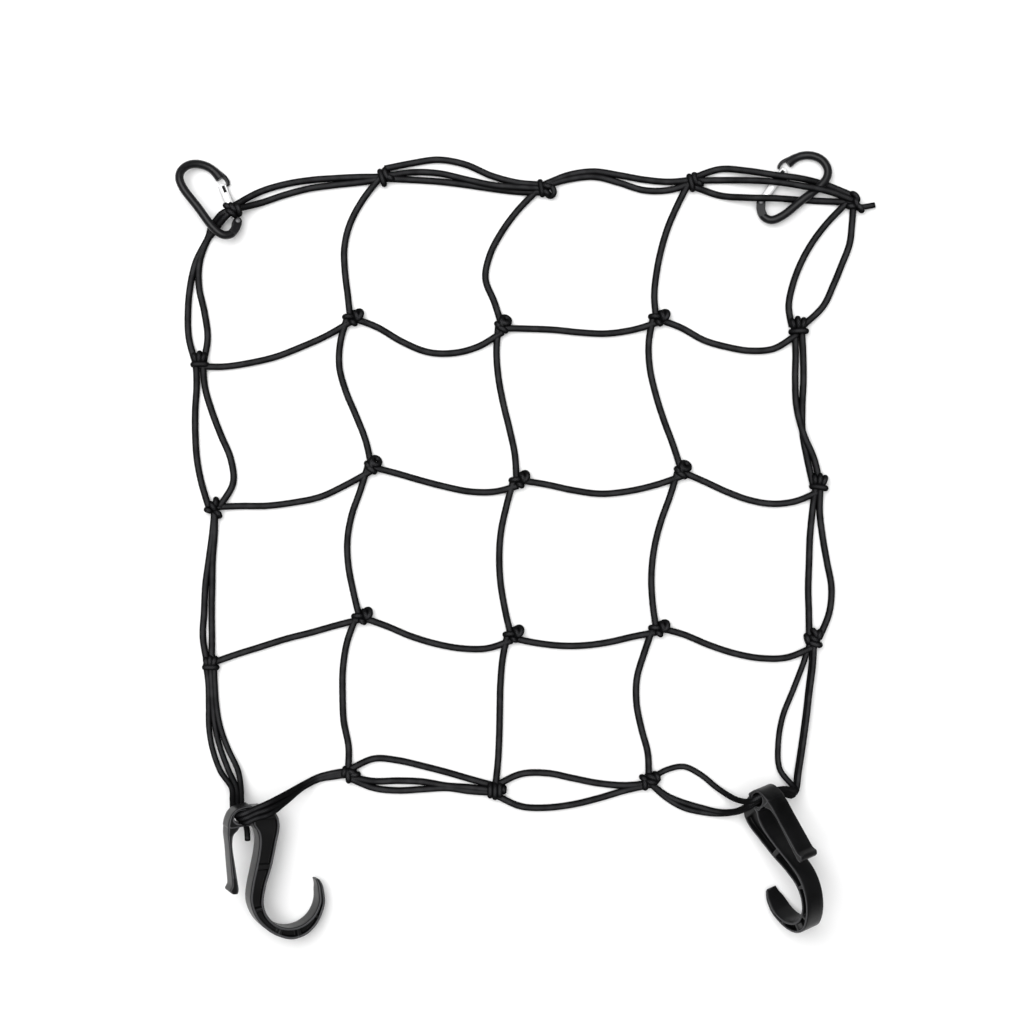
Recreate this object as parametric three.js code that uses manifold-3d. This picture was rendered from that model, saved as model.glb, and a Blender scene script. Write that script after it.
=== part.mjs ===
// Elastic cargo net: one knotted net of round bungee cord lying flat, two moulded hooks on its lower
// corners and two small snap links on its upper corners. Millimetres, +Z up, the net on the plane z = 0.
import * as THREE from "three";
import Module from "manifold-3d";
import { mergeVertices } from "three/addons/utils/BufferGeometryUtils.js";

const wasm = await Module();
wasm.setup();

// ---------------------------------------------------------------- driving dimensions

const GAP = 0.35; // clearance cut round whatever the cord touches
const CENTRE = { x: 0.86, y: 1.455 }; // middle of the outer box, moved to the origin

// Cord: strands lie on the floor at height lie and enter a knot at height entry.
const CORD = { radius: 2.15, sides: 5, step: 21, lie: 2.4, entry: 4.3 };
const BUNDLE = { radius: 3.7, sides: 8, step: 5 }; // strands pressed together in a hook's eye
const TAIL = { radius: 1.9, step: 4 }; // a cut end that sticks out

// A knot is its windings side by side: where each lies along the knot, its radius, and the groove between.
const KNOT = {
  height: 3.98, // its middle above the floor, so that the largest winding rests on a flat
  windings: [{ at: -3.8, radius: 3.2 }, { at: 0, radius: 4.2 }, { at: 4.2, radius: 4.6 }],
  crown: 0.9,
  groove: 0.8,
  end: 2.0,
  sides: 6,
  reach: 3.0, // how far from a knot's middle its strands begin
};

const HOOK = {
  depth: 13.6,
  bow: { centre: [-0.7, 27.2], radius: 19 },
  throat: { centre: [-31.9, 68.2], radius: 9.1 },
  eye: { centre: [-34, 83.4], across: 5.9, along: 4.2, sides: 14 },
  pocket: { depth: 3.4, rim: 1.6, rib: 0.16, samples: 4 },
  tip: { from: 29, to: 40, taper: 0.22 },
};

const LINK = {
  stock: 2.8, // radius of the bent rod
  sides: 8,
  step: 5,
  pivot: [52.6, 18.7],
  cheek: { radius: 3.0, clear: 3.3, slot: 1.45 },
  hole: 1.4,
  claw: { from: 17.5, to: 28.6, inner: 29.7, outer: 31.4, half: 1.9 },
};
const OUTWARD = 1; // the hook's outline runs clockwise, so its left-hand side is outside
const SWING = [0, 5, 10, 15, 20]; // gate angles that the net keeps clear of
const GATE = {
  radius: 2.8,
  sides: 10,
  from: [26, 26.2],
  root: 3.9, // distance from the pivot to the tube's lower end
  slot: { length: 5.2, half: 0.85, start: 1.5 },
  tongue: { half: 1.1, width: 1.9, hole: 1.35 },
};
const RIVET = { shank: 1.0, head: 1.7, headStart: 3.12, headEnd: 3.8, sides: 10 };

// Where each hook lies: its foot point and the directions of its two outline axes.
const HOOK_PLACE = {
  hook_left: { at: [-158.1, -259.1], a: [0.923, 0.008, -0.385], b: [0.009, 0.999, 0.043] },
  hook_right: { at: [181.2, -250.8], a: [-0.289, -0.552, -0.782], b: [-0.476, 0.792, -0.383] },
};
// Where each link lies: its nose corner, the direction of its back bar and its lean on the gate side.
const LINK_PLACE = {
  left: { at: [-236.6, 245.9], along: [0.606, -0.796], across: [0.796, 0.606], lean: 24 },
  right: { at: [209.4, 245.8], along: [-0.78, -0.62], across: [-0.62, 0.78], lean: 9 },
};

const FINISH = {
  cord: { color: 0x232325, roughness: 0.85, metalness: 0 },
  nylon: { color: 0x1d1d1f, roughness: 0.42, metalness: 0 },
  blackened: { color: 0x202124, roughness: 0.35, metalness: 0.6 },
  polished: { color: 0xc9cccf, roughness: 0.25, metalness: 1 },
};

// ---------------------------------------------------------------- tables of the net

// Knots and other spots: x, y, and a height where it isn't on the floor.
const SPOT = {
  A0: [-193.3, 222.0, 12.6], A1: [-93.3, 244.7], A2: [13.3, 238.0], A3: [112.0, 241.3], A4: [218.3, 228.0],
  B0: [-216.7, 121.3], B1: [-115.3, 151.3], B2: [-14.7, 146.7], B3: [88.0, 151.3], B4: [181.3, 145.3],
  C0: [-207.3, 25.3], C1: [-101.3, 53.3], C2: [-4.7, 43.3], C3: [104.7, 50.0], C4: [194.7, 38.7],
  D0: [-209.3, -78.7], D1: [-109.3, -47.3], D2: [-8.7, -59.3], D3: [88.0, -55.3], D4: [191.3, -62.0],
  E1: [-116.7, -152.0], E2: [-20.0, -162.0], E3: [83.3, -155.3],
  leftIn: [-189.5, -164.0, 14.5], leftOut: [-177.5, -175.0, 38.5],
  rightIn: [177.5, -166.5, 12.0], rightOut: [150.5, -169.5, 30.0],
};

// Knot forms: turn about the vertical in degrees and size.
const KNOTS = [
  { at: "A0", turn: 30, size: 1.0 }, { at: "A1", turn: 10, size: 1.1 }, { at: "A2", turn: -20, size: 1.15 },
  { at: "A3", turn: 10, size: 1.1 }, { at: "A4", turn: -75, size: 1.1 }, { at: "B0", turn: 0, size: 1.05 },
  { at: "B1", turn: 20, size: 1.0 }, { at: "B2", turn: 20, size: 1.0 }, { at: "B3", turn: 20, size: 1.0 },
  { at: "B4", turn: 80, size: 1.15 }, { at: "C0", turn: -90, size: 1.1 }, { at: "C1", turn: 20, size: 1.0 },
  { at: "C2", turn: 20, size: 1.0 }, { at: "C3", turn: 20, size: 1.0 }, { at: "C4", turn: 0, size: 1.1 },
  { at: "D0", turn: 90, size: 0.95 }, { at: "D1", turn: 20, size: 1.0 }, { at: "D2", turn: 20, size: 1.0 },
  { at: "D3", turn: 20, size: 1.0 }, { at: "D4", turn: 20, size: 1.15 }, { at: "E1", turn: 0, size: 1.1 },
  { at: "E2", turn: -90, size: 1.1 }, { at: "E3", turn: 0, size: 1.15 },
];

// Heights of a strand at each sixth of its way where it climbs over or through something.
const LIFT = {
  fromA0: [12.6, 3.6, 2.4, 2.4, 2.4, 2.4, 4.3],
  leftIn: [4.3, 2.4, 2.4, 2.4, 2.7, 6, 14.5],
  rightInLow: [4.3, 2.4, 2.4, 2.4, 2.4, 4, 10],
  rightInHigh: [4.3, 4.6, 5.2, 5.4, 5.4, 7, 12],
  overB4: [4.3, 2.4, 2.4, 3.8, 6.2, 3.8, 4.3],
  topFlat: [4.3, 2.4, 2.4, 2.4, 2.4, 2.4, 4.3],
  topCross: [4.3, 2.4, 2.4, 3.5, 5.8, 5.8, 4.3],
  linkUpper: [4.3, 2.4, 6, 8.8, 4.6, 2.4, 4.3],
  linkMiddle: [4.3, 2.4, 6.4, 9, 12.3, 9, 5],
  linkLower: [4.3, 2.4, 7, 8.6, 2.8, 2.4, 4.3],
  leftOut: [38.5, 35, 24, 10, 3, 2.4, 4.3],
  leftOutLow: [38, 34.5, 23, 9, 3, 2.4, 4.3],
  rightOut: [4.3, 2.4, 2.4, 2.4, 5, 15, 30],
  rightOutLow: [4.3, 2.4, 2.4, 2.4, 4, 13, 28],
};

// Strands that run down the net: bow is the offset to the right at each sixth of the straight line.
const DOWN = [
  { from: "A1", to: "B1", bow: [-3, -11.5, -16, -16, -12, -6.5, -1] },
  { from: "B1", to: "C1", bow: [-3, -10, -13, -11, -6.5, -2.5, -1] },
  { from: "C1", to: "D1", bow: [-3, -7, -11.5, -13, -11, -6.5, -1] },
  { from: "D1", to: "E1", bow: [-3, -8, -9.5, -8.5, -6.5, -2, -1] },
  { from: "A2", to: "B2", bow: [-3, -13.5, -20, -23, -21, -10.5, -1] },
  { from: "B2", to: "C2", bow: [-3, -6, -6.5, -5, -2.5, -0.5, -1] },
  { from: "C2", to: "D2", bow: [-3, -7, -10, -10.5, -9, -5.5, -1] },
  { from: "D2", to: "E2", bow: [-3, -4.5, -4, -2.5, -1, 0, 0] },
  { from: "A3", to: "B3", bow: [-3, -6.5, -9, -9.5, -8.5, -6, -1] },
  { from: "B3", to: "C3", bow: [-3, -8.5, -10.5, -9.5, -7, -3.5, -1] },
  { from: "C3", to: "D3", bow: [-3, -5.5, -9, -10.5, -9.5, -6, -1] },
  { from: "D3", to: "E3", bow: [-3, -7.5, -11.5, -11, -7, -2, -1] },
  // left border, through the left link
  { from: "A0", to: "B0", bow: [0, -13.5, -18, -18, -15.5, -11, -2.5],
    via: [[-200.2, 219.6, 10.2], [-205.0, 215.4, 6.6], [-208.6, 211.8, 3.6]] },
  { from: "A0", to: "B0", bow: [0, -13, -15.5, -12, -4.5, 1.5, 3],
    via: [[-198.6, 217.0, 10.2], [-203.0, 212.8, 6.6], [-206.4, 208.6, 3.4]] },
  { from: "B0", to: "C0", bow: [-2, -3.5, -6, -7.5, -8, -6.5, -3] },
  { from: "B0", to: "C0", bow: [2.5, 2, 5, 9.5, 14.5, 14.5, 4] },
  { from: "C0", to: "D0", bow: [1, -0.5, -2.5, -4.5, -5, -5.5, -2] },
  { from: "C0", to: "D0", bow: [1, 1, 0, 0, 0, 0.5, 1] },
  { from: "D0", to: "leftIn", bow: [-3, -4.8, -7.5, -10.3, -10.9, -8.1, -3], lift: LIFT.leftIn },
  { from: "D0", to: "leftIn", bow: [0, -2.6, -4.9, -6.2, -5.6, -2.9, 0], lift: LIFT.leftIn },
  { from: "D0", to: "leftIn", bow: [2.5, -0.5, -2.6, -3.2, -1.4, 2.4, 3.2], lift: LIFT.leftIn },
  // right border
  { from: "A4", to: "B4", bow: [-4, -15, -16, -16.5, -15.5, -12, -4] },
  { from: "A4", to: "B4", bow: [0, 5.5, 10, 11, 11.5, 11, 3] },
  { from: "B4", to: "C4", bow: [-2, -3.5, -6, -7.5, -5.5, 0, 1.5], lift: LIFT.overB4 },
  { from: "B4", to: "C4", bow: [2.5, 1.5, -0.5, -3.5, -5.5, -4.5, -3] },
  { from: "C4", to: "D4", bow: [-1.5, -3, -4, -4, -4, -3, -2.5] },
  { from: "C4", to: "D4", bow: [1.5, 2, 4.5, 8, 11.5, 10.5, 4] },
  { from: "D4", to: "rightIn", bow: [-1, -4.1, -8.5, -13, -13.6, -10.4, -4], lift: LIFT.rightInLow },
  { from: "D4", to: "rightIn", bow: [1, 2.5, 2.5, 2.8, 2.7, 2.1, 0], lift: LIFT.rightInHigh },
  { from: "D4", to: "rightIn", bow: [0.5, 1.5, 1.7, 2, 1.9, 1.3, 0], lift: LIFT.rightInLow },
];

// Strands that run across the net: bow is the offset upwards at each sixth of the straight line.
const ACROSS = [
  { from: "B0", to: "B1", bow: [-2.5, -7.5, -10, -11, -9.5, -7, -2.5] },
  { from: "B1", to: "B2", bow: [0, -5.5, -14.5, -20.5, -20.5, -15.5, -5] },
  { from: "B2", to: "B3", bow: [-2.5, -3.5, -5, -7.5, -9, -7.5, -3.5] },
  { from: "B3", to: "B4", bow: [-1, -5.5, -13, -16.5, -18, -15.5, -5] },
  { from: "C0", to: "C1", bow: [0, -4, -8.5, -11, -12, -8.5, -3.5] },
  { from: "C1", to: "C2", bow: [-1.5, -4, -7, -9.5, -11, -9.5, -4] },
  { from: "C2", to: "C3", bow: [0, -4, -9, -12.5, -12, -9, -4] },
  { from: "C3", to: "C4", bow: [-1.5, -6, -11, -14.5, -15, -11.5, -3.5] },
  { from: "D0", to: "D1", bow: [0, 0.5, 0.5, 0.5, -0.5, -1, -2] },
  { from: "D1", to: "D2", bow: [-0.5, -4.5, -9.5, -12.5, -13.5, -11.5, -4] },
  { from: "D2", to: "D3", bow: [-2.5, -6.5, -9, -9.5, -8, -5, -2.5] },
  { from: "D3", to: "D4", bow: [0.5, -3, -9, -13.5, -15.5, -14, -6] },
  // top border, the last three through the right link
  { from: "A0", to: "A1", bow: [2, 9, 10.5, 9.5, 7, 4, 0], lift: LIFT.fromA0 },
  { from: "A0", to: "A1", bow: [0, 1.5, 3.5, 4, 2.5, 0.5, -1], lift: LIFT.fromA0 },
  { from: "A1", to: "A2", bow: [5.5, 10.5, 14, 12, 5.5, 2, 1.5], lift: LIFT.topFlat },
  { from: "A1", to: "A2", bow: [0.5, 4.5, 5, 2, -1, -1.5, -1], lift: LIFT.topCross },
  { from: "A1", to: "A2", bow: [-1, -0.5, -0.5, -1.5, -3, -4, -3.5] },
  { from: "A2", to: "A3", bow: [2, 8, 9.5, 6.5, 3, 1, 1.5] },
  { from: "A2", to: "A3", bow: [1, 5, 6, 1.5, -4, -4.5, -0.5] },
  { from: "A3", to: "A4", bow: [3, 11, 11.4, 10.5, 10.4, 9.3, 4], lift: LIFT.linkUpper },
  { from: "A3", to: "A4", bow: [1, 3.7, 5.3, 6.2, 5.2, 4.4, 1], lift: LIFT.linkMiddle },
  { from: "A3", to: "A4", bow: [-3, -6.5, -6.5, -4.8, -2.8, -1.5, 0], lift: LIFT.linkLower },
  // bottom border, from the left hook to the right one
  { from: "leftOut", to: "E1", bow: [2, 3.7, 4.3, 5.1, 5.7, 4.4, 2], lift: LIFT.leftOut },
  { from: "leftOut", to: "E1", bow: [0, -0.2, 0.7, 3.4, 4.1, 2.8, 0.8], lift: LIFT.leftOut },
  { from: "leftOut", to: "E1", bow: [-2, -4.0, -0.9, 3.0, 3.8, 1.6, -0.5], lift: LIFT.leftOutLow },
  { from: "E1", to: "E2", bow: [3, 11.5, 12, 10, 7.5, 4.5, 2] },
  { from: "E1", to: "E2", bow: [-2, -3.5, -1.5, -0.5, -1.5, -1, -1] },
  { from: "E1", to: "E2", bow: [-3, -8, -8, -5.5, -3, -3.5, -2.5] },
  { from: "E2", to: "E3", bow: [2, 8.5, 8, 3.5, -1, -3.5, -3] },
  { from: "E2", to: "E3", bow: [-4, -13, -15, -14, -11, -7, -4] },
  { from: "E3", to: "rightOut", bow: [0, 8.2, 12.6, 9.6, 3.1, -0.6, 1], lift: LIFT.rightOut },
  { from: "E3", to: "rightOut", bow: [-3, -9, -11.3, -12.2, -12.3, -8.2, -1], lift: LIFT.rightOut },
  { from: "E3", to: "rightOut", bow: [-3.4, -11, -14.9, -15.3, -13.9, -9.2, -1.9], lift: LIFT.rightOutLow },
];

// The strands' way through each hook's eye, and the cut ends that show.
const BUNDLES = [
  [[-191.0, -160.5, 12.0], [-189.9, -168.5, 18.0], [-188.4, -175.4, 26.0], [-184.0, -176.5, 36.5],
    [-180.6, -175.9, 39.4], [-176.0, -174.2, 38.2]],
  [[178.5, -164.0, 10.5], [170.5, -162.0, 17.0], [162.7, -162.3, 23.9], [157.0, -164.1, 27.2],
    [151.3, -165.9, 30.5], [147.5, -168.6, 29.5]],
];
const TAILS = [
  [[219.0, 224.6, 4.3], [225.0, 224.9, 3.2], [232.6, 226.3, 2.3]],
  [[-188.6, -171.0, 17.0], [-184.6, -180.5, 19.0], [-182.6, -188.0, 22.5], [-182.0, -193.0, 25.5]],
];

// ---------------------------------------------------------------- tables of the hook and the link

// Bow of the hook: rim thickness at each angle round its centre, from the tip's side.
const BOW = [
  { angle: 12, thick: 3.8 }, { angle: -10, thick: 4.3 }, { angle: -31, thick: 5.0 },
  { angle: -49, thick: 6.3 }, { angle: -68, thick: 7.5 }, { angle: -88, thick: 7.8 },
  { angle: -107, thick: 6.8 }, { angle: -127, thick: 6.4 }, { angle: -149, thick: 7.1 },
  { angle: -168, thick: 8.2 }, { angle: -184, thick: 9.2 },
];
// Shank of the hook: left and right edges at each height.
const SHANK = [
  { height: 38.5, left: -27.8, right: -17.8 }, { height: 48.8, left: -25.6, right: -14.6 },
  { height: 58, left: -23.8, right: -12.5 }, { height: 67, left: -22.7, right: -10.7 },
];
const TIP = [[16.3, 39.0], [17.6, 35.0]];
const TIP_BACK = [[18.9, 38.8], [20.9, 35.4]];
const TONGUE = [
  [-40.9, 63.2], [-36.6, 36.0], [-36.7, 34.0], [-40.0, 32.9], [-42.6, 35.1], [-42.4, 37.0],
  [-40.7, 37.0], [-43.0, 63.2], [-44.0, 72.0],
];
const ARCH = [
  [-43.7, 80.5], [-41.0, 86.4], [-35.6, 89.8], [-28.4, 90.8], [-20.1, 89.8], [-13.4, 86.0],
  [-10.0, 81.5], [-9.1, 76.5],
];
const RIBS = [2.9, 4.3, 6.45, 8.15, 10.9, 14.1, 16]; // rib places along the section rows, tip to head

// Centre line of the link's rod, from the end at the nose round to the pivot: along, across.
const ROD = [
  [22.3, 28.3], [16.5, 27.9], [10.5, 25.7], [5.3, 20.7], [3.1, 14.8], [4.1, 8.6], [7.5, 4.8], [14, 2.8],
  [30, 2.8], [47.4, 2.8], [54.6, 5.2], [57.0, 10.0], [55.9, 14.7], [53.0, 18.6],
];

// ---------------------------------------------------------------- shapes

const vec3 = ([x, y, z = 0]) => new THREE.Vector3(x, y, z);
const vec2 = ([x, y]) => new THREE.Vector2(x, y);

/** A closed geometry as a solid that can be joined and cut. */
function solid(geometry) {
  const bare = geometry.clone();
  bare.deleteAttribute("normal");
  bare.deleteAttribute("uv");
  const merged = mergeVertices(bare, 1e-4);
  return new wasm.Manifold(new wasm.Mesh({
    numProp: 3,
    vertProperties: merged.attributes.position.array,
    triVerts: new Uint32Array(merged.index.array),
  }));
}

/** Joins the first list of geometries, cuts the second from it and keeps the largest body. */
function fuse(adds, cuts = []) {
  let body = adds.map(solid).reduce((whole, next) => whole.add(next));
  for (const cut of cuts) body = body.subtract(solid(cut));
  const [largest] = body.decompose().sort((p, q) => q.volume() - p.volume());
  const mesh = largest.getMesh();
  const geometry = new THREE.BufferGeometry()
    .setAttribute("position", new THREE.BufferAttribute(new Float32Array(mesh.vertProperties), 3))
    .setIndex(new THREE.BufferAttribute(new Uint32Array(mesh.triVerts), 1))
    .toNonIndexed();
  geometry.computeVertexNormals();
  return geometry;
}

/** The corners of a regular polygon or a part of an ellipse. */
function round(centre, across, along, sides, from = 0, to = 360) {
  const whole = to - from === 360;
  return Array.from({ length: whole ? sides : sides + 1 }, (_, i) => {
    const angle = THREE.MathUtils.degToRad(from + ((to - from) * i) / sides);
    return [centre[0] + across * Math.cos(angle), centre[1] + along * Math.sin(angle)];
  });
}

/** A flat outline given a thickness from low to high. */
function prism(outline, low, high, holes = []) {
  const shape = new THREE.Shape(outline.map(vec2));
  shape.holes = holes.map((hole) => new THREE.Path(hole.map(vec2)));
  return new THREE.ExtrudeGeometry(shape, { depth: high - low, bevelEnabled: false }).translate(0, 0, low);
}

/** A round bar with flat ends along a smooth curve through the points. */
function tube(points, radius, sides, step) {
  const path = new THREE.CatmullRomCurve3(points.map(vec3));
  const steps = Math.max(3, Math.round(path.getLength() / step));
  const section = new THREE.Shape(round([0, 0], radius, radius, sides).map(vec2));
  return new THREE.ExtrudeGeometry(section, { steps, bevelEnabled: false, extrudePath: path });
}

// ---------------------------------------------------------------- net

/** The points of a strand, from inside one knot to inside the next. */
function strandPoints({ from, to, bow, lift, via = [] }, side) {
  const [start, end] = [SPOT[from], SPOT[to]].map(vec3);
  const last = bow.length - 1;
  const points = bow.map((offset, i) => {
    const point = start.clone().lerp(end, i / last).addScaledVector(side, offset);
    const knotHeight = SPOT[i === 0 ? from : to][2] ?? CORD.entry;
    point.z = lift ? lift[i] : i === 0 || i === last ? knotHeight : CORD.lie;
    return point.toArray();
  });
  const route = [points[0], ...via, ...points.slice(1)].map(vec3);
  for (const [tip, next] of [[0, 1], [route.length - 1, route.length - 2]]) {
    route[tip].add(route[next].clone().sub(route[tip]).setLength(KNOT.reach));
  }
  return route.map((point) => point.toArray());
}

/** One knot: a ridged barrel, a ridge for each winding, turned in the plane of the net. */
function knot({ at, turn, size }) {
  const { windings, crown, groove, end, sides, height } = KNOT;
  const [x, y, z = height * size] = SPOT[at];
  const ridge = ({ at: middle, radius }) => [[radius, middle - crown], [radius, middle + crown]];
  const valleys = windings.slice(1).map((next, i) => {
    const before = windings[i];
    return [Math.min(before.radius, next.radius) - groove, (before.at + next.at) / 2];
  });
  const first = windings[0].at - end;
  const last = windings[windings.length - 1].at + end;
  const profile = [
    [0, first],
    ...windings.flatMap((winding, i) => [...ridge(winding), ...(valleys[i] ? [valleys[i]] : [])]),
    [0, last],
  ];
  return new THREE.LatheGeometry(profile.map(vec2), sides, Math.PI / sides)
    .rotateZ(-Math.PI / 2)
    .scale(size, size, size)
    .rotateZ(THREE.MathUtils.degToRad(turn))
    .translate(x, y, z);
}

/** The whole net as one solid, clear of the hooks, the links and the gates' swing. */
function net(cuts) {
  const { radius, sides, step } = CORD;
  const strand = (side) => (row) => tube(strandPoints(row, side), radius, sides, step);
  const down = DOWN.map(strand(new THREE.Vector3(1, 0, 0)));
  const across = ACROSS.map(strand(new THREE.Vector3(0, 1, 0)));
  const bundles = BUNDLES.map((points) => tube(points, BUNDLE.radius, BUNDLE.sides, BUNDLE.step));
  const tails = TAILS.map((points) => tube(points, TAIL.radius, sides, TAIL.step));
  return fuse([...down, ...across, ...bundles, ...tails, ...KNOTS.map(knot)], cuts);
}

// ---------------------------------------------------------------- hook

/** The hook's inner and outer edge points at each section row, tip to head. */
function hookEdges() {
  const { centre, radius } = HOOK.bow;
  const bow = BOW.map(({ angle, thick }) =>
    [radius, radius + thick].map((r) => {
      const turn = THREE.MathUtils.degToRad(angle);
      return [centre[0] + r * Math.cos(turn), centre[1] + r * Math.sin(turn)];
    }));
  const shank = SHANK.map(({ height, left, right }) => [[right, height], [left, height]]);
  const rows = [[TIP[0], TIP_BACK[0]], [TIP[1], TIP_BACK[1]], ...bow, ...shank];
  return { inner: rows.map(([inner]) => inner), outer: rows.map(([, outer]) => outer) };
}

/** The hook's outline, moved outwards by grow. */
function hookOutline(grow) {
  const { inner, outer } = hookEdges();
  const smooth = (points, count) =>
    new THREE.SplineCurve(points.map(vec2)).getPoints(count).map((p) => [p.x, p.y]);
  const { centre, radius } = HOOK.throat;
  const outline = [
    ...smooth([...inner].reverse(), 26),
    ...smooth(outer, 26),
    ...round(centre, radius, radius, 8, 0, 180),
    ...TONGUE,
    ...ARCH,
  ].map(vec2);
  if (!grow) return outline.map((p) => [p.x, p.y]);
  return outline.map((point, i) => {
    const before = outline[(i + outline.length - 1) % outline.length];
    const after = outline[(i + 1) % outline.length];
    const way = after.clone().sub(before).normalize();
    return [point.x - way.y * grow * OUTWARD, point.y + way.x * grow * OUTWARD];
  });
}

/** The recesses between the hook's ribs, cut from both faces. */
function hookPockets() {
  const { inner, outer } = hookEdges();
  const curves = [inner, outer].map((edge) => new THREE.SplineCurve(edge.map(vec2)));
  const { depth, rim, rib, samples } = HOOK.pocket;
  const last = inner.length - 1;
  return RIBS.slice(1).flatMap((end, k) => {
    const start = RIBS[k];
    const sections = Array.from({ length: samples + 1 }, (_, i) => {
      const row = start + rib + ((end - start - 2 * rib) * i) / samples;
      const [from, to] = curves.map((curve) => curve.getPoint(row / last));
      const inset = to.clone().sub(from).setLength(rim);
      return [from.add(inset).toArray(), to.sub(inset).toArray()];
    });
    const outline = [...sections.map(([a]) => a), ...sections.map(([, b]) => b).reverse()];
    return [
      prism(outline, HOOK.depth - depth, HOOK.depth + 1),
      prism(outline, -1, depth),
    ];
  });
}

/** Wedges that narrow the tip of the hook from both faces. */
function tipWedges() {
  const { from, to, taper } = HOOK.tip;
  const bite = HOOK.depth * taper;
  return [
    [[from, -1], [from, 0], [to, bite], [to, -1]],
    [[from, HOOK.depth + 1], [to, HOOK.depth + 1], [to, HOOK.depth - bite], [from, HOOK.depth]],
  ].map((outline) =>
    prism(outline, 8, 30).applyMatrix4(new THREE.Matrix4().makeBasis(
      new THREE.Vector3(0, 1, 0), new THREE.Vector3(0, 0, 1), new THREE.Vector3(1, 0, 0))));
}

/** The hook's body, with its eye, tapered tip and ribbed recesses. */
function hook() {
  const { centre, across, along, sides } = HOOK.eye;
  const eye = prism(round(centre, across, along, sides), -1, HOOK.depth + 1);
  return fuse([prism(hookOutline(0), 0, HOOK.depth)], [eye, ...tipWedges(), ...hookPockets()]);
}

/** The room that the hook needs in the net. */
function hookRoom() {
  const { centre, across, along, sides } = HOOK.eye;
  const eye = prism(round(centre, across - GAP, along - GAP, sides), -1, HOOK.depth + 1);
  return fuse([prism(hookOutline(GAP), -GAP, HOOK.depth + GAP)], [eye]);
}

/** The turn and place of a hook, lowest point on the floor. */
function hookMatrix({ at, a, b }, shape) {
  const along = vec3(a).normalize();
  const face = along.clone().cross(vec3(b)).normalize();
  const up = face.clone().cross(along);
  const turn = new THREE.Matrix4().makeBasis(along, up, face);
  const box = new THREE.Box3().setFromBufferAttribute(shape.clone().applyMatrix4(turn).attributes.position);
  return new THREE.Matrix4().makeTranslation(at[0], at[1], -box.min.z).multiply(turn);
}

// ---------------------------------------------------------------- snap link

/** A bar of round section across the link's plane, at a point of that plane. */
function crossBar([along, across], radius, low, high, sides = 10) {
  return prism(round([along, across], radius, radius, sides), low, high);
}

/** The link's bent rod with its claw and slotted cheeks, moved outwards by grow. */
function linkBody(grow = 0) {
  const { stock, sides, step, pivot, cheek, claw } = LINK;
  const rod = tube(ROD, stock + grow, sides, step);
  const end = crossBar(pivot, cheek.radius + grow, -stock - grow, stock + grow);
  const clawOutline = [
    [claw.from, claw.inner - 2 - grow], [claw.from + 3, claw.inner - 2 - grow],
    [claw.from + 4, claw.inner - grow], [claw.to + grow, claw.inner - grow],
    [claw.to + grow, claw.outer - 0.6 + grow], [claw.to - 1, claw.outer + grow],
    [claw.from, claw.outer + grow],
  ];
  const nose = prism(clawOutline, -claw.half - grow, claw.half + grow);
  if (grow) return fuse([rod, end, nose]);
  const slot = [
    crossBar(pivot, cheek.clear, -cheek.slot, cheek.slot, 12),
    prism([[44, 16.5], [pivot[0], 16.5], [pivot[0], 26], [44, 26]], -cheek.slot, cheek.slot),
  ];
  return fuse([rod, end, nose], [...slot, crossBar(pivot, LINK.hole, -5, 5)]);
}

/** The gate: a slotted tube that ends in a flat tongue on the pivot, in the link's plane. */
function linkGate(grow = 0) {
  const { radius, sides, from, root, slot, tongue } = GATE;
  const pivot = vec3(LINK.pivot);
  const way = vec3(from).sub(pivot);
  const length = way.length();
  way.normalize();
  const place = new THREE.Matrix4()
    .makeBasis(way, new THREE.Vector3(-way.y, way.x, 0), new THREE.Vector3(0, 0, 1))
    .setPosition(pivot);
  const lay = new THREE.Matrix4().makeBasis(
    new THREE.Vector3(0, 1, 0), new THREE.Vector3(0, 0, 1), new THREE.Vector3(1, 0, 0));
  const bar = prism(round([0, 0], radius + grow, radius + grow, sides), root - grow, length + grow)
    .applyMatrix4(lay);
  const width = tongue.width + grow;
  const plate = [...round([0, 0], width, width, 8, 90, 270), [root + 2, -width], [root + 2, width]];
  const holes = grow ? [] : [round([0, 0], tongue.hole, tongue.hole, 10)];
  const flat = prism(plate, -tongue.half - grow, tongue.half + grow, holes);
  const parts = grow ? [] : [
    prism([[length - slot.start - slot.length, -slot.half], [length - slot.start, -slot.half],
      [length - slot.start, slot.half], [length - slot.start - slot.length, slot.half]], -5, 5),
  ];
  return fuse([bar, flat], parts).applyMatrix4(place);
}

/** The rivet through the cheeks, with a head on each side. */
function linkRivet() {
  const { shank, head, headStart, headEnd, sides } = RIVET;
  return fuse([
    crossBar(LINK.pivot, shank, -headEnd + 0.1, headEnd - 0.1, sides),
    crossBar(LINK.pivot, head, headStart, headEnd, sides),
    crossBar(LINK.pivot, head, -headEnd, -headStart, sides),
  ]);
}

/** The turn and place of a link, lowest point on the floor. */
function linkMatrix({ at, along, across, lean }, shape) {
  const drop = THREE.MathUtils.degToRad(lean);
  const spine = vec3(along).normalize();
  const level = vec3(across).addScaledVector(spine, -spine.dot(vec3(across))).normalize();
  const down = level.multiplyScalar(Math.cos(drop)).setZ(-Math.sin(drop));
  const turn = new THREE.Matrix4().makeBasis(spine, down, spine.clone().cross(down));
  const box = new THREE.Box3().setFromBufferAttribute(shape.clone().applyMatrix4(turn).attributes.position);
  return new THREE.Matrix4().makeTranslation(at[0], at[1], -box.min.z).multiply(turn);
}

/** The room that the gate sweeps as it opens, closed to fully open. */
function gateSweep() {
  const shape = linkGate(GAP);
  const [x, y] = LINK.pivot;
  return SWING.map((angle) =>
    shape.clone().translate(-x, -y, 0).rotateZ(THREE.MathUtils.degToRad(angle)).translate(x, y, 0));
}

// ---------------------------------------------------------------- assembly

const part = new THREE.Group();

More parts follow.
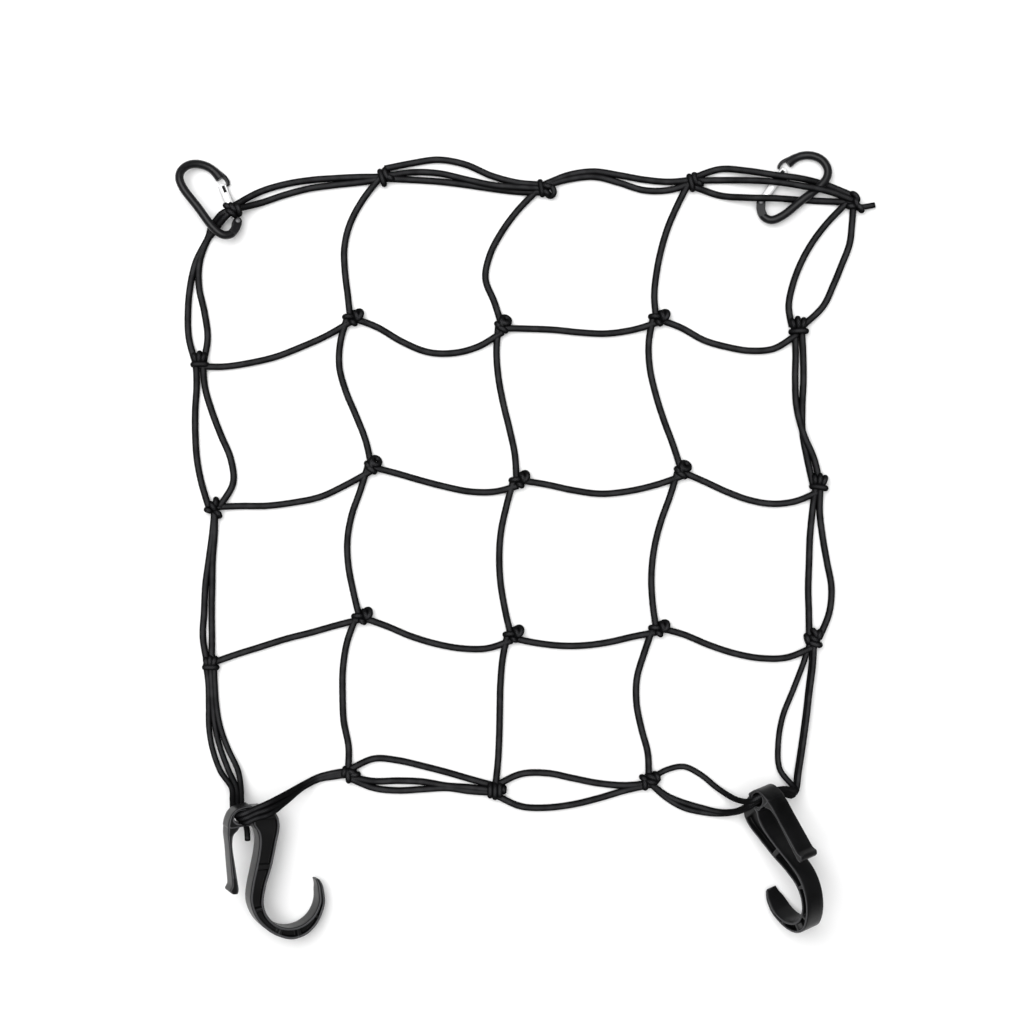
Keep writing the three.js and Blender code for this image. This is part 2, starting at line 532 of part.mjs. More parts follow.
function piece(name, geometry, finish, matrix) {
  const mesh = new THREE.Mesh(geometry, new THREE.MeshStandardMaterial(FINISH[finish]));
  mesh.name = name;
  if (matrix) mesh.applyMatrix4(matrix);
  part.add(mesh);
}

const room = [];

const hookShape = hook();
const hookClear = hookRoom();
for (const [name, place] of Object.entries(HOOK_PLACE)) {
  const matrix = hookMatrix(place, hookShape);
  piece(name, hookShape, "nylon", matrix);
  room.push(hookClear.clone().applyMatrix4(matrix));
}

const linkShape = linkBody();
const rivetRoom = crossBar(LINK.pivot, RIVET.head + GAP, -RIVET.headEnd - GAP, RIVET.headEnd + GAP);
const linkClear = [linkBody(GAP), ...gateSweep(), rivetRoom];
for (const [side, place] of Object.entries(LINK_PLACE)) {
  const matrix = linkMatrix(place, linkShape);
  piece("carabiner_" + side, linkShape, "blackened", matrix);
  piece("gate_" + side, linkGate(), "polished", matrix);
  piece("rivet_" + side, linkRivet(), "polished", matrix);
  room.push(...linkClear.map((shape) => shape.clone().applyMatrix4(matrix)));
}

piece("net", net(room), "cord");

part.position.set(-CENTRE.x, -CENTRE.y, 0);

export default part;
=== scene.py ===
"""An elastic cargo net, spread flat: braided cord, wrapped knots, moulded hooks and snap links."""
import logging
import math
from dataclasses import dataclass
from enum import Enum
from typing import Iterable, Sequence

import bpy
import numpy as np
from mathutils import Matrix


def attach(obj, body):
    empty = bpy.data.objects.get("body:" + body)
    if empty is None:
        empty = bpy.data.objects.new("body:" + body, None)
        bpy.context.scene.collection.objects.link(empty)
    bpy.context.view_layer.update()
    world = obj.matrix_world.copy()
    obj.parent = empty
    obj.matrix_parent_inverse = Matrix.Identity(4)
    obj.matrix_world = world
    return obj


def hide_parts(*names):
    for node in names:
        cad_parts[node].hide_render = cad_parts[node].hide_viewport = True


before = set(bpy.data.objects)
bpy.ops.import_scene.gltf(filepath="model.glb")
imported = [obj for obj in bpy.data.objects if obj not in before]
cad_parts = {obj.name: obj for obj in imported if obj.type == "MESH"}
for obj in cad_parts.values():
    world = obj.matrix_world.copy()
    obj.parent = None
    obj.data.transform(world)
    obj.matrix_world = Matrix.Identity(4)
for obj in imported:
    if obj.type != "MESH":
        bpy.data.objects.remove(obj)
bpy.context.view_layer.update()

LOG = logging.getLogger("cargo_net")

MM = 0.001  # the tables are in millimetres, the meshes in metres
CENTRE = (0.86, 1.455)  # the tables' point that lies on the frame's origin

X_AXIS, Y_AXIS, Z_AXIS = np.eye(3)
QUARTER = np.linspace(0, math.pi / 2, 5)  # the turns of a rounded corner's points
SIDE_SHARES = np.array([0.25, 0.5, 0.75])  # where the points of a bar's side lie between its corners
CURVE_SAMPLES = 24  # points that a curve is measured by, for each point it goes through
SHORTEST_CURVE = 4  # the fewest points that a curve is stepped off in
WRAP_POINTS = 40  # round a knot's wrap
EDGE_CLEARANCE = 1.2  # how far from its ends a rod's own rings start, in radii of the ends' edges

Points = Sequence[Sequence[float]]


# ---------------------------------------------------------------- mesh of a surface


@dataclass
class Shell:
    """A closed surface: its points in millimetres, its quads and end fans, and their UV corners."""

    points: np.ndarray
    quads: np.ndarray
    quad_uv: np.ndarray
    fans: np.ndarray
    fan_uv: np.ndarray

    @staticmethod
    def joined(shells: Sequence["Shell"]) -> "Shell":
        """Put several shells into one.

        Args:
            shells: the shells to join.

        Returns:
            One shell that holds them all.
        """
        starts = np.cumsum([0] + [len(s.points) for s in shells[:-1]])
        return Shell(
            np.concatenate([s.points for s in shells]),
            np.concatenate([s.quads + n for s, n in zip(shells, starts)]),
            np.concatenate([s.quad_uv for s in shells]),
            np.concatenate([s.fans + n for s, n in zip(shells, starts)]),
            np.concatenate([s.fan_uv for s in shells]),
        )

    def outward(self) -> "Shell":
        """Turn the faces round if the volume that they enclose comes out negative.

        Returns:
            The shell, with its faces pointing outwards.
        """
        corners = np.concatenate([self.quads[:, [0, 1, 2]], self.quads[:, [0, 2, 3]], self.fans])
        a, b, c = (self.points[corners[:, k]] for k in range(3))
        if np.einsum("ij,ij->", a, np.cross(b, c)) < 0:
            self.quads, self.quad_uv = self.quads[:, ::-1], self.quad_uv[:, ::-1]
            self.fans, self.fan_uv = self.fans[:, ::-1], self.fan_uv[:, ::-1]
        return self

    def placed(self, turn: np.ndarray, at: Sequence[float]) -> "Shell":
        """Turn and move the shell.

        Args:
            turn: a matrix whose columns are the new directions of the three axes.
            at: where the shell's origin goes, in millimetres.

        Returns:
            The moved shell.
        """
        return Shell(self.points @ turn.T + np.asarray(at, float), self.quads, self.quad_uv,
                     self.fans, self.fan_uv).outward()


def grid_shell(grid: np.ndarray, run: np.ndarray, capped: bool = True) -> Shell:
    """Close a grid of rings into a shell.

    Args:
        grid: rings along the way, points round each ring, and their x, y and z.
        run: how far along the way each ring lies, in millimetres.
        capped: whether the ends are closed by fans, or the last ring joins the first.

    Returns:
        The shell, faces outwards.
    """
    rings, sides, _ = grid.shape
    last = rings - 1 if capped else rings
    i, j = np.meshgrid(np.arange(last), np.arange(sides), indexing="ij")
    i, j = i.ravel(), j.ravel()
    after, beside = (i + 1) % rings, (j + 1) % sides
    quads = np.stack([i * sides + j, i * sides + beside, after * sides + beside, after * sides + j], 1)
    length = np.append(run, run[-1] + (run[-1] - run[-2]))
    around, further = j / sides, (j + 1) / sides
    quad_uv = np.stack([
        np.stack([around, length[i]], 1), np.stack([further, length[i]], 1),
        np.stack([further, length[i + 1]], 1), np.stack([around, length[i + 1]], 1)], 1)
    points = grid.reshape(-1, 3)
    fans = np.zeros((0, 3), int)
    fan_uv = np.zeros((0, 3, 2))
    if capped:
        points = np.concatenate([points, [grid[0].mean(0), grid[-1].mean(0)]])
        k = np.arange(sides)
        beside = (k + 1) % sides
        first, final = rings * sides, rings * sides + 1
        fans = np.concatenate([
            np.stack([np.full(sides, first), beside, k], 1),
            np.stack([np.full(sides, final), k + last * sides, beside + last * sides], 1)])
        edge = np.stack([k / sides, np.zeros(sides)], 1)
        fan_uv = np.tile(np.stack([edge, edge, edge], 1), (2, 1, 1))
    return Shell(points, quads, quad_uv, fans, fan_uv).outward()


def make_piece(name: str, shell: Shell, finish: "Finish", body: str,
               replaces: Sequence[str] = ()) -> None:
    """Put a shell into a mesh object that rides on a body.

    Args:
        name: the piece's name.
        shell: its surface, in millimetres.
        finish: what it is made of.
        body: the body that it rides on.
        replaces: the frame's nodes that it stands for.
    """
    mesh = bpy.data.meshes.new(name)
    points = (shell.points - [CENTRE[0], CENTRE[1], 0.0]) * MM
    mesh.vertices.add(len(points))
    mesh.vertices.foreach_set("co", points.astype(np.float32).ravel())
    corners = np.concatenate([shell.quads.ravel(), shell.fans.ravel()])
    starts = np.concatenate([
        np.arange(len(shell.quads)) * 4, len(shell.quads) * 4 + np.arange(len(shell.fans)) * 3])
    mesh.loops.add(len(corners))
    mesh.loops.foreach_set("vertex_index", corners.astype(np.int32))
    mesh.polygons.add(len(starts))
    mesh.polygons.foreach_set("loop_start", starts.astype(np.int32))
    mesh.polygons.foreach_set("use_smooth", np.ones(len(starts), bool))
    uv = np.concatenate([shell.quad_uv.reshape(-1, 2), shell.fan_uv.reshape(-1, 2)])
    mesh.uv_layers.new(name="run").data.foreach_set("uv", uv.astype(np.float32).ravel())
    mesh.update(calc_edges=True)
    mesh.validate()
    obj = bpy.data.objects.new(name, mesh)
    bpy.context.scene.collection.objects.link(obj)
    mesh.materials.append(finish.material())
    if replaces:
        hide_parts(*replaces)
    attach(obj, body)
    LOG.info("%s: %d points, %d faces, rides on %s", name, len(points), len(starts), body)


# ---------------------------------------------------------------- curves and sweeps


def run_of(path: np.ndarray) -> np.ndarray:
    """Return how far along a path each of its points lies."""
    return np.concatenate([[0.0], np.cumsum(np.linalg.norm(np.diff(path, axis=0), axis=1))])


def unit(vectors: np.ndarray) -> np.ndarray:
    """Return vectors at length one."""
    return vectors / np.linalg.norm(vectors, axis=-1, keepdims=True)


def hermite(u: np.ndarray, size: np.ndarray | float, ends: Sequence[np.ndarray],
            slopes: Sequence[np.ndarray]) -> np.ndarray:
    """Read cubic pieces that meet their end points with given slopes.

    The weights are 2u^3 - 3u^2 + 1 and 3u^2 - 2u^3 for the two ends, and u^3 - 2u^2 + u and
    u^3 - u^2, times the piece's size, for the two slopes.

    Args:
        u: how far through its piece each point lies, from 0 to 1.
        size: each piece's length in the curve's parameter.
        ends: where the pieces start, and where they end.
        slopes: their slopes at both places.

    Returns:
        The points.
    """
    return ((2 * u**3 - 3 * u**2 + 1) * ends[0] + (u**3 - 2 * u**2 + u) * size * slopes[0]
            + (3 * u**2 - 2 * u**3) * ends[1] + (u**3 - u**2) * size * slopes[1])


def smooth_curve(points: Points, spacing: float) -> np.ndarray:
    """Draw one smooth curve through points.

    The curve is a row of cubic Hermite pieces. Its parameter grows by the square root of each
    chord, and its slope at a point is the mean of the chords' slopes on both sides, each
    weighted by the other's length. It is then stepped off evenly along its length.

    Args:
        points: the points to go through.
        spacing: about how far apart the curve's points lie.

    Returns:
        The curve's points.
    """
    given = np.asarray(points, float)
    steps = np.sqrt(np.linalg.norm(np.diff(given, axis=0), axis=1))
    start = np.concatenate([[0.0], np.cumsum(steps)])
    chords = np.diff(given, axis=0) / steps[:, None]
    before, after = steps[:-1, None], steps[1:, None]
    slopes = np.empty_like(given)
    slopes[1:-1] = (chords[:-1] * after + chords[1:] * before) / (before + after)
    slopes[0], slopes[-1] = chords[0], chords[-1]
    t = np.linspace(0, start[-1], CURVE_SAMPLES * len(given))
    piece = np.clip(np.searchsorted(start, t, side="right") - 1, 0, len(steps) - 1)
    size = steps[piece][:, None]
    u = (t - start[piece])[:, None] / size
    dense = hermite(u, size, (given[piece], given[piece + 1]), (slopes[piece], slopes[piece + 1]))
    far = run_of(dense)
    even = np.linspace(0, far[-1], max(SHORTEST_CURVE, int(round(far[-1] / spacing)) + 1))
    return np.stack([np.interp(even, far, dense[:, k]) for k in range(3)], 1)


def through_rows(rows: np.ndarray, t: np.ndarray, closed: bool = False) -> np.ndarray:
    """Read a smooth curve through evenly numbered rows.

    Between two rows the curve is a cubic Hermite piece whose slope at a row is half of the
    step from the row before to the row after.

    Args:
        rows: a point for each whole number.
        t: the numbers to read at.
        closed: whether the last row is followed by the first.

    Returns:
        A point for each number.
    """
    count = len(rows)
    if closed:
        slopes = (np.roll(rows, -1, 0) - np.roll(rows, 1, 0)) / 2
    else:
        slopes = np.gradient(rows, axis=0)
    k = np.floor(t).astype(int) % count if closed else np.minimum(np.floor(t).astype(int), count - 2)
    after = (k + 1) % count
    u = (t - np.floor(t) if closed else t - k)[:, None]
    return hermite(u, 1.0, (rows[k], rows[after]), (slopes[k], slopes[after]))


def step(value: np.ndarray) -> np.ndarray:
    """Return a soft step that rises from 0 to 1 as the value does."""
    value = np.clip(value, 0, 1)
    return value * value * (3 - 2 * value)


def round_ring(sides: int) -> np.ndarray:
    """Return a circle's points as their cosine and sine, evenly spaced."""
    turn = np.linspace(0, 2 * math.pi, sides, endpoint=False)
    return np.stack([np.cos(turn), np.sin(turn)], 1)


def sweep(path: np.ndarray, radius: np.ndarray, sides: int, closed: bool = False) -> Shell:
    """Carry a round section along a path.

    At each point of the path the section stands across it: the point plus the radius times the
    cosine of the turn on the first cross direction, and the sine on the second. The cross
    directions come from the direction that the path runs along least.

    Args:
        path: the path's points.
        radius: the section's radius, or its radius at each of them.
        sides: how many points the section has.
        closed: whether the path's last point joins its first.

    Returns:
        The tube.
    """
    ahead = unit((np.roll(path, -1, 0) - np.roll(path, 1, 0)) if closed else np.gradient(path, axis=0))
    spread = np.linalg.eigh(ahead.T @ ahead)[1]
    side = unit(np.cross(ahead, spread[:, 0]))
    rise = np.cross(side, ahead)
    ring = round_ring(sides)
    section = ring[None, :, :1] * side[:, None] + ring[None, :, 1:] * rise[:, None]
    grid = path[:, None] + np.broadcast_to(radius, len(path))[:, None, None] * section
    return grid_shell(grid, run_of(path), capped=not closed)


def blunt_sweep(path: np.ndarray, radius: np.ndarray, sides: int, edge: float) -> Shell:
    """Sweep a round bar whose ends are flat with a rounded edge.

    Near an end the radius is less by the edge times one minus the sine of a quarter turn, and
    the ring lies in from the end by the edge times one minus its cosine.

    Args:
        path: its centre line.
        radius: its radius at each point.
        sides: how many sides it has.
        edge: the radius of its ends' edges.

    Returns:
        The bar.
    """
    quarter = QUARTER[:-1]
    ahead = unit(path[1] - path[0]), unit(path[-1] - path[-2])
    start = path[0] + edge * (1 - np.cos(quarter))[:, None] * ahead[0]
    finish = path[-1] - edge * (1 - np.cos(quarter))[::-1, None] * ahead[1]
    small = edge * (np.sin(quarter) - 1)
    clear = edge * EDGE_CLEARANCE
    keep = (run_of(path) > clear) & (run_of(path[::-1])[::-1] > clear)
    radii = np.concatenate([radius[0] + small, radius[keep], radius[-1] + small[::-1]])
    return sweep(np.concatenate([start, path[keep], finish]), radii, sides)


# ---------------------------------------------------------------- finishes


class Graph:
    """A material's nodes, laid down one after another."""

    def __init__(self, name: str) -> None:
        """Start a material with an empty shader.

        Args:
            name: the material's name.
        """
        self.material = bpy.data.materials.new(name)
        self.material.use_nodes = True
        self.tree = self.material.node_tree
        self.tree.nodes.clear()
        self.shader = self.add("ShaderNodeBsdfPrincipled")
        output = self.add("ShaderNodeOutputMaterial")
        self.link(self.shader, "BSDF", output, "Surface")

    def add(self, kind: str, **settings: object) -> bpy.types.Node:
        """Add a node.

        Args:
            kind: the node's type.
            settings: its properties, or its inputs' values by name.

        Returns:
            The node.
        """
        node = self.tree.nodes.new(kind)
        for key, value in settings.items():
            if key in node.inputs:
                node.inputs[key].default_value = value
            else:
                setattr(node, key, value)
        return node

    def link(self, source: bpy.types.Node, output: object, target: bpy.types.Node, socket: object) -> None:
        """Join an output to a socket."""
        self.tree.links.new(source.outputs[output], target.inputs[socket])

    def math(self, operation: str, first: object, second: object = None) -> bpy.types.Node:
        """Add a sum.

        Args:
            operation: the sum's name.
            first: a node, a node and its output's name, or a number.
            second: the same, if the sum takes two.

        Returns:
            The node.
        """
        node = self.add("ShaderNodeMath", operation=operation)
        for k, value in enumerate((first, second)):
            if isinstance(value, tuple):
                self.link(*value, node, k)
            elif isinstance(value, bpy.types.Node):
                self.link(value, 0, node, k)
            elif value is not None:
                node.inputs[k].default_value = value
        return node

    def blend(self, first: bpy.types.Node, second: bpy.types.Node, shares: Sequence[float]) -> bpy.types.Node:
        """Add a share of one factor to a share of another."""
        parts = (self.math("MULTIPLY", node, share) for node, share in zip((first, second), shares))
        return self.math("ADD", *parts)

    def noise(self, scale: float, detail: float) -> bpy.types.Node:
        """Add a noise on the object's own coordinates.

        Args:
            scale: how many waves it has in a metre.
            detail: how many finer layers it has.

        Returns:
            The noise node, whose first output is its height.
        """
        place = self.add("ShaderNodeTexCoord")
        noise = self.add("ShaderNodeTexNoise", Scale=scale, Detail=detail)
        self.link(place, "Object", noise, "Vector")
        return noise

    def upper_side(self) -> bpy.types.Node:
        """Work out how far the surface faces up; the finishes use it to paint light on top faces and shade on
        the flanks.

        Returns:
            The node: 0 at its flanks and below, 1 at its top.
        """
        place = self.add("ShaderNodeTexCoord")
        split = self.add("ShaderNodeSeparateXYZ")
        self.link(place, "Normal", split, "Vector")
        return self.math("MAXIMUM", (split, "Z"), 0.0)

    def between(self, factor: bpy.types.Node, low: float, high: float) -> bpy.types.Node:
        """Spread a factor from 0 to 1 over a range.

        Args:
            factor: the node that gives the factor.
            low: what 0 becomes.
            high: what 1 becomes.

        Returns:
            The node.
        """
        node = self.add("ShaderNodeMapRange")
        self.link(factor, 0, node, "Value")
        node.inputs["To Min"].default_value = low
        node.inputs["To Max"].default_value = high
        return node

    def colours(self, factor: bpy.types.Node, places: Sequence[float], tones: Sequence[tuple]) -> None:
        """Colour the shader by a factor.

        Args:
            factor: the node that gives the factor.
            places: where on it each tone lies, from 0 to 1.
            tones: the tones.
        """
        ramp = self.add("ShaderNodeValToRGB")
        fill_ramp(ramp, zip(places, tones))
        self.link(factor, 0, ramp, "Fac")
        self.link(ramp, "Color", self.shader, "Base Color")

    def raise_by(self, height: bpy.types.Node, strength: float, distance: float) -> None:
        """Let a height stand out of the surface.

        Args:
            height: the node that gives the height, from 0 to 1.
            strength: how much of it shows.
            distance: how far 1 stands out, in metres.
        """
        bump = self.add("ShaderNodeBump", Strength=strength, Distance=distance)
        self.link(height, 0, bump, "Height")
        self.link(bump, "Normal", self.shader, "Normal")

    def shine(self, factor: bpy.types.Node, rough: Sequence[float], specular: float) -> None:
        """Set how the surface shines.

        Args:
            factor: the node that the roughness follows.
            rough: the roughness where it is 0 and where it is 1.
            specular: how strong the surface mirrors.
        """
        self.link(self.between(factor, *rough), 0, self.shader, "Roughness")
        self.shader.inputs["Specular IOR Level"].default_value = specular


def fill_ramp(ramp: bpy.types.Node, stops: Iterable[tuple]) -> None:
    """Set a colour ramp's stops.

    Args:
        ramp: the ramp's node, fresh, with the stops that a new one has.
        stops: each a place from 0 to 1 and a tone, in rising order.
    """
    elements = ramp.color_ramp.elements
    for k, (place, tone) in enumerate(stops):
        element = elements[k] if k < len(elements) else elements.new(place)
        element.position = place
        element.color = (*tone, 1.0)


@dataclass(frozen=True)
class Finish:
    """What a piece is made of; each kind lays down its own nodes."""

    name: str
    slot: str

    def material(self) -> bpy.types.Material:
        """Return the finish's material, made once."""
        return bpy.data.materials.get(self.name) or self.made()

    def made(self) -> bpy.types.Material:
        """Return a new material; each kind of finish has its own."""
        raise NotImplementedError


@dataclass(frozen=True)
class BraidedCord(Finish):
    """Elastic cord in a braided sleeve: crossing strands, a little fuzz, painted light along its top and
    painted shade on its flanks and underside.
    """

    name: str = "braided_cord"
    slot: str = "cord"
    carriers: int = 8  # strands that run each way round the cord
    pitch: float = 11.0  # millimetres along the cord for one turn of a strand
    tones: tuple = (  # painted shade beneath and on the flanks, painted light near the top and along the crown
        (0.0006, 0.0006, 0.0007), (0.0014, 0.0014, 0.0016), (0.0068, 0.0068, 0.0074), (0.042, 0.042, 0.044))
    places: tuple = (0.0, 0.4, 0.74, 1.0)
    fuzz_scale: float = 2600.0
    fuzz_share: float = 0.35
    patch_scale: float = 160.0
    weave_shares: tuple = (0.16, 0.34)  # of the braid's height and of the patches, in the tone
    darker: float = 0.37
    relief: float = 0.00025
    relief_strength: float = 0.55
    rough: tuple = (0.6, 0.78)
    specular: float = 0.03

    def made(self) -> bpy.types.Material:
        """Lay down the braid.

        Two sets of waves run round the cord, one each way: the sine of the carriers times the
        turn plus or minus the way along over the pitch. The higher of the two is the strand
        that lies on top. The side that faces up is painted lighter, as painted light, and the
        flanks darker, as painted shade.

        Returns:
            The material.
        """
        graph = Graph(self.name)
        place = graph.add("ShaderNodeUVMap", uv_map="run")
        split = graph.add("ShaderNodeSeparateXYZ")
        graph.link(place, "UV", split, "Vector")
        waves = 2 * math.pi * self.carriers
        around = graph.math("MULTIPLY", (split, "X"), waves)
        along = graph.math("MULTIPLY", (split, "Y"), waves / self.pitch)
        left = graph.math("SINE", graph.math("ADD", around, along))
        right = graph.math("SINE", graph.math("SUBTRACT", around, along))
        braid = graph.between(graph.math("MAXIMUM", left, right), 0.0, 1.0)
        fuzz = graph.noise(self.fuzz_scale, detail=2.0)
        height = graph.math("ADD", braid, graph.math("MULTIPLY", fuzz, self.fuzz_share))
        patch = graph.noise(self.patch_scale, detail=4.0)
        weave = graph.blend(height, patch, self.weave_shares)
        # painted light and shade: how far the surface faces up lightens the top and darkens the flanks
        shade = graph.math("SUBTRACT", graph.math("ADD", graph.upper_side(), weave), self.darker)
        graph.colours(shade, self.places, self.tones)
        graph.raise_by(height, self.relief_strength, self.relief)
        graph.shine(patch, self.rough, self.specular)
        return graph.material


@dataclass(frozen=True)
class MouldedNylon(Finish):
    """Satin black moulded plastic with a faint grain and scuffed streaks."""

    name: str = "moulded_nylon"
    slot: str = "nylon"
    tones: tuple = (  # dark, light, and the painted highlight on sharp corners
        (0.0006, 0.0006, 0.0007), (0.0055, 0.0055, 0.006), (0.05, 0.05, 0.053))
    places: tuple = (0.25, 0.55, 1.0)
    grain_scale: float = 1900.0
    flow_scale: float = 45.0
    shares: tuple = (0.75, 0.25)  # of flow marks and of grain
    mark_share: float = 0.7  # of both together, beside the painted highlight at the corners
    flat: float = 0.5  # how pointed a flat face counts
    # how strongly sharp corners are given a painted highlight
    edge_highlight_gain: float = 5.0
    relief: float = 0.00006
    relief_strength: float = 0.25
    rough: tuple = (0.24, 0.44)
    specular: float = 0.17

    def made(self) -> bpy.types.Material:
        """Lay down the plastic: a fine grain, soft flow marks, and a painted highlight that makes sharp
        corners lighter.

        Returns:
            The material.
        """
        graph = Graph(self.name)
        grain = graph.noise(self.grain_scale, detail=4.0)
        flow = graph.noise(self.flow_scale, detail=4.0)
        shade = graph.blend(flow, grain, self.shares)
        # painted highlight: sharp convex corners, found by pointiness, are painted lighter
        shape = graph.add("ShaderNodeNewGeometry")
        sharp = graph.math("SUBTRACT", (shape, "Pointiness"), self.flat)
        worn = graph.math("MAXIMUM", graph.math("MULTIPLY", sharp, self.edge_highlight_gain), 0.0)
        tone = graph.math("ADD", graph.math("MULTIPLY", shade, self.mark_share), worn)
        graph.colours(tone, self.places, self.tones)
        graph.raise_by(grain, self.relief_strength, self.relief)
        graph.shine(shade, self.rough, self.specular)
        return graph.material


@dataclass(frozen=True)
class BlackenedRod(Finish):
    """Black anodised light metal, drawn along its length, worn a little lighter in streaks."""

    name: str = "blackened_rod"
    slot: str = "blackened"
    tones: tuple = ((0.001, 0.001, 0.0013), (0.0115, 0.0115, 0.013))
    places: tuple = (0.3, 0.75)
    stretch: tuple = (30.0, 0.35, 1.0)  # waves round the rod and along it
    pit_scale: float = 1500.0
    shares: tuple = (0.7, 0.3)  # of streaks and of pits
    relief: float = 0.00005
    relief_strength: float = 0.3
    rough: tuple = (0.26, 0.46)
    specular: float = 0.22

    def made(self) -> bpy.types.Material:
        """Lay down the rod's skin: streaks stretched along the rod's own run, and fine pits.

        Returns:
            The material.
        """
        graph = Graph(self.name)
        place = graph.add("ShaderNodeUVMap", uv_map="run")
        stretch = graph.add("ShaderNodeMapping", Scale=self.stretch)
        graph.link(place, "UV", stretch, "Vector")
        streak = graph.add("ShaderNodeTexNoise", Scale=1.0, Detail=4.0)
        graph.link(stretch, "Vector", streak, "Vector")
        pits = graph.noise(self.pit_scale, detail=3.0)
        graph.colours(graph.blend(streak, pits, self.shares), self.places, self.tones)
        graph.raise_by(pits, self.relief_strength, self.relief)
        graph.shine(streak, self.rough, self.specular)
        return graph.material


@dataclass(frozen=True)
class BrightGate(Finish):
    """Bright tumbled aluminium with faint turning marks, painted light on its top and painted shade on its
    flanks.
    """

    name: str = "bright_gate"
    slot: str = "polished"
    tones: tuple = ((0.12, 0.12, 0.124), (0.6, 0.6, 0.61), (0.95, 0.95, 0.955))  # from painted shade on the flank to painted light on top
    places: tuple = (0.2, 0.5, 0.72)
    metal: float = 0.3
    smear_scale: float = 220.0
    smear_share: float = 0.12
    ring_scale: float = 9.0
    ring_waver: float = 1.5
    relief: float = 0.00003
    relief_strength: float = 0.08
    rough: tuple = (0.38, 0.52)
    specular: float = 0.5

    def made(self) -> bpy.types.Material:
        """Lay down the metal: turning rings, soft smears, and painted shade that darkens the flanks below a
        painted light top.

        Returns:
            The material.
        """
        graph = Graph(self.name)
        smear = graph.noise(self.smear_scale, detail=4.0)
        place = graph.add("ShaderNodeUVMap", uv_map="run")
        rings = graph.add("ShaderNodeTexWave", bands_direction="Y", Scale=self.ring_scale,
                          Distortion=self.ring_waver, Detail=2.0)
        graph.link(place, "UV", rings, "Vector")
        # painted light and shade: the top lighter and the flanks darker by how far the surface faces up
        shade = graph.math("ADD", graph.upper_side(), graph.math("MULTIPLY", smear, self.smear_share))
        graph.colours(shade, self.places, self.tones)
        graph.raise_by(rings, self.relief_strength, self.relief)
        graph.shine(smear, self.rough, self.specular)
        graph.shader.inputs["Metallic"].default_value = self.metal
        return graph.material


CORD = BraidedCord()
NYLON = MouldedNylon()
BLACKENED = BlackenedRod()
BRIGHT = BrightGate()
# the rivet's dome uses the gate's ramp in dark tones: a painted highlight on its top and painted shade on its
# flanks
RIVET = BrightGate(
    name="burnished_rivet", tones=((0.004, 0.004, 0.0045), (0.012, 0.012, 0.013), (0.16, 0.16, 0.165)))


# ---------------------------------------------------------------- the net


@dataclass(frozen=True)
class Strand:
    """A strand between two spots, with its bow off the straight line at even steps."""

    start: str
    end: str
    bow: tuple
    lift: str = ""  # the name of its heights; without one it lies on the floor
    via: tuple = ()  # more points that it goes through just after its start


SPOTS = {  # where the strands meet; a height, where it isn't a knot's own
    "A0": (-193.3, 222.0, 12.6), "A1": (-93.3, 244.7), "A2": (13.3, 238.0), "A3": (112.0, 241.3),
    "A4": (218.3, 228.0), "B0": (-216.7, 121.3), "B1": (-115.3, 151.3), "B2": (-14.7, 146.7),
    "B3": (88.0, 151.3), "B4": (181.3, 145.3), "C0": (-207.3, 25.3), "C1": (-101.3, 53.3),
    "C2": (-4.7, 43.3), "C3": (104.7, 50.0), "C4": (194.7, 38.7), "D0": (-209.3, -78.7),
    "D1": (-109.3, -47.3), "D2": (-8.7, -59.3), "D3": (88.0, -55.3), "D4": (191.3, -62.0),
    "E1": (-116.7, -152.0), "E2": (-20.0, -162.0), "E3": (83.3, -155.3),
    "leftIn": (-189.5, -164.0, 14.5), "leftOut": (-177.5, -175.0, 38.5),
    "rightIn": (177.5, -166.5, 12.0), "rightOut": (150.5, -169.5, 30.0),
}

LIFTS = {  # heights of a strand, one for each step of its bow
    "fromA0": (12.6, 3.6, 2.4, 2.4, 2.4, 2.4, 4.3),
    "leftIn": (4.3, 2.4, 2.4, 2.4, 2.7, 6, 14.5),
    "rightInLow": (4.3, 2.4, 2.4, 2.4, 2.4, 4, 10),
    "rightInHigh": (4.3, 4.6, 5.2, 5.4, 5.4, 7, 12),
    "overB4": (4.3, 2.4, 2.4, 3.8, 6.2, 3.8, 4.3),
    "topFlat": (4.3, 2.4, 2.4, 2.4, 2.4, 2.4, 4.3),
    "topCross": (4.3, 2.4, 2.4, 3.5, 5.8, 5.8, 4.3),
    "linkUpper": (4.3, 2.8, 7.6, 10.2, 9.8, 2.4, 4.3),
    "linkMiddle": (4.3, 2.4, 6.4, 9, 12.3, 9, 5),
    "linkLower": (4.3, 2.6, 8.4, 9.4, 2.8, 2.4, 4.3),
    "leftOut": (38.5, 35, 24, 10, 3, 2.4, 4.3),
    "leftOutLow": (38, 34.5, 23, 9, 3, 2.4, 4.3),
    "rightOut": (30, 15, 5, 2.4, 2.4, 2.4, 4.3),
    "rightOutLow": (28, 13, 4, 2.4, 2.4, 2.4, 4.3),
}

DOWN = (
    Strand("A1", "B1", (-3, -11.5, -16, -16, -12, -6.5, -1)),
    Strand("B1", "C1", (-3, -10, -13, -11, -6.5, -2.5, -1)),
    Strand("C1", "D1", (-3, -7, -11.5, -13, -11, -6.5, -1)),
    Strand("D1", "E1", (-3, -8, -9.5, -8.5, -6.5, -2, -1)),
    Strand("A2", "B2", (-3, -13.5, -20, -23, -21, -10.5, -1)),
    Strand("B2", "C2", (-3, -6, -6.5, -5, -2.5, -0.5, -1)),
    Strand("C2", "D2", (-3, -7, -10, -10.5, -9, -5.5, -1)),
    Strand("D2", "E2", (-3, -4.5, -4, -2.5, -1, 0, 0)),
    Strand("A3", "B3", (-3, -6.5, -9, -9.5, -8.5, -6, -1)),
    Strand("B3", "C3", (-3, -8.5, -10.5, -9.5, -7, -3.5, -1)),
    Strand("C3", "D3", (-3, -5.5, -9, -10.5, -9.5, -6, -1)),
    Strand("D3", "E3", (-3.2, -8.0, -12.0, -11.5, -7.5, -2.4, -1.1)),
)

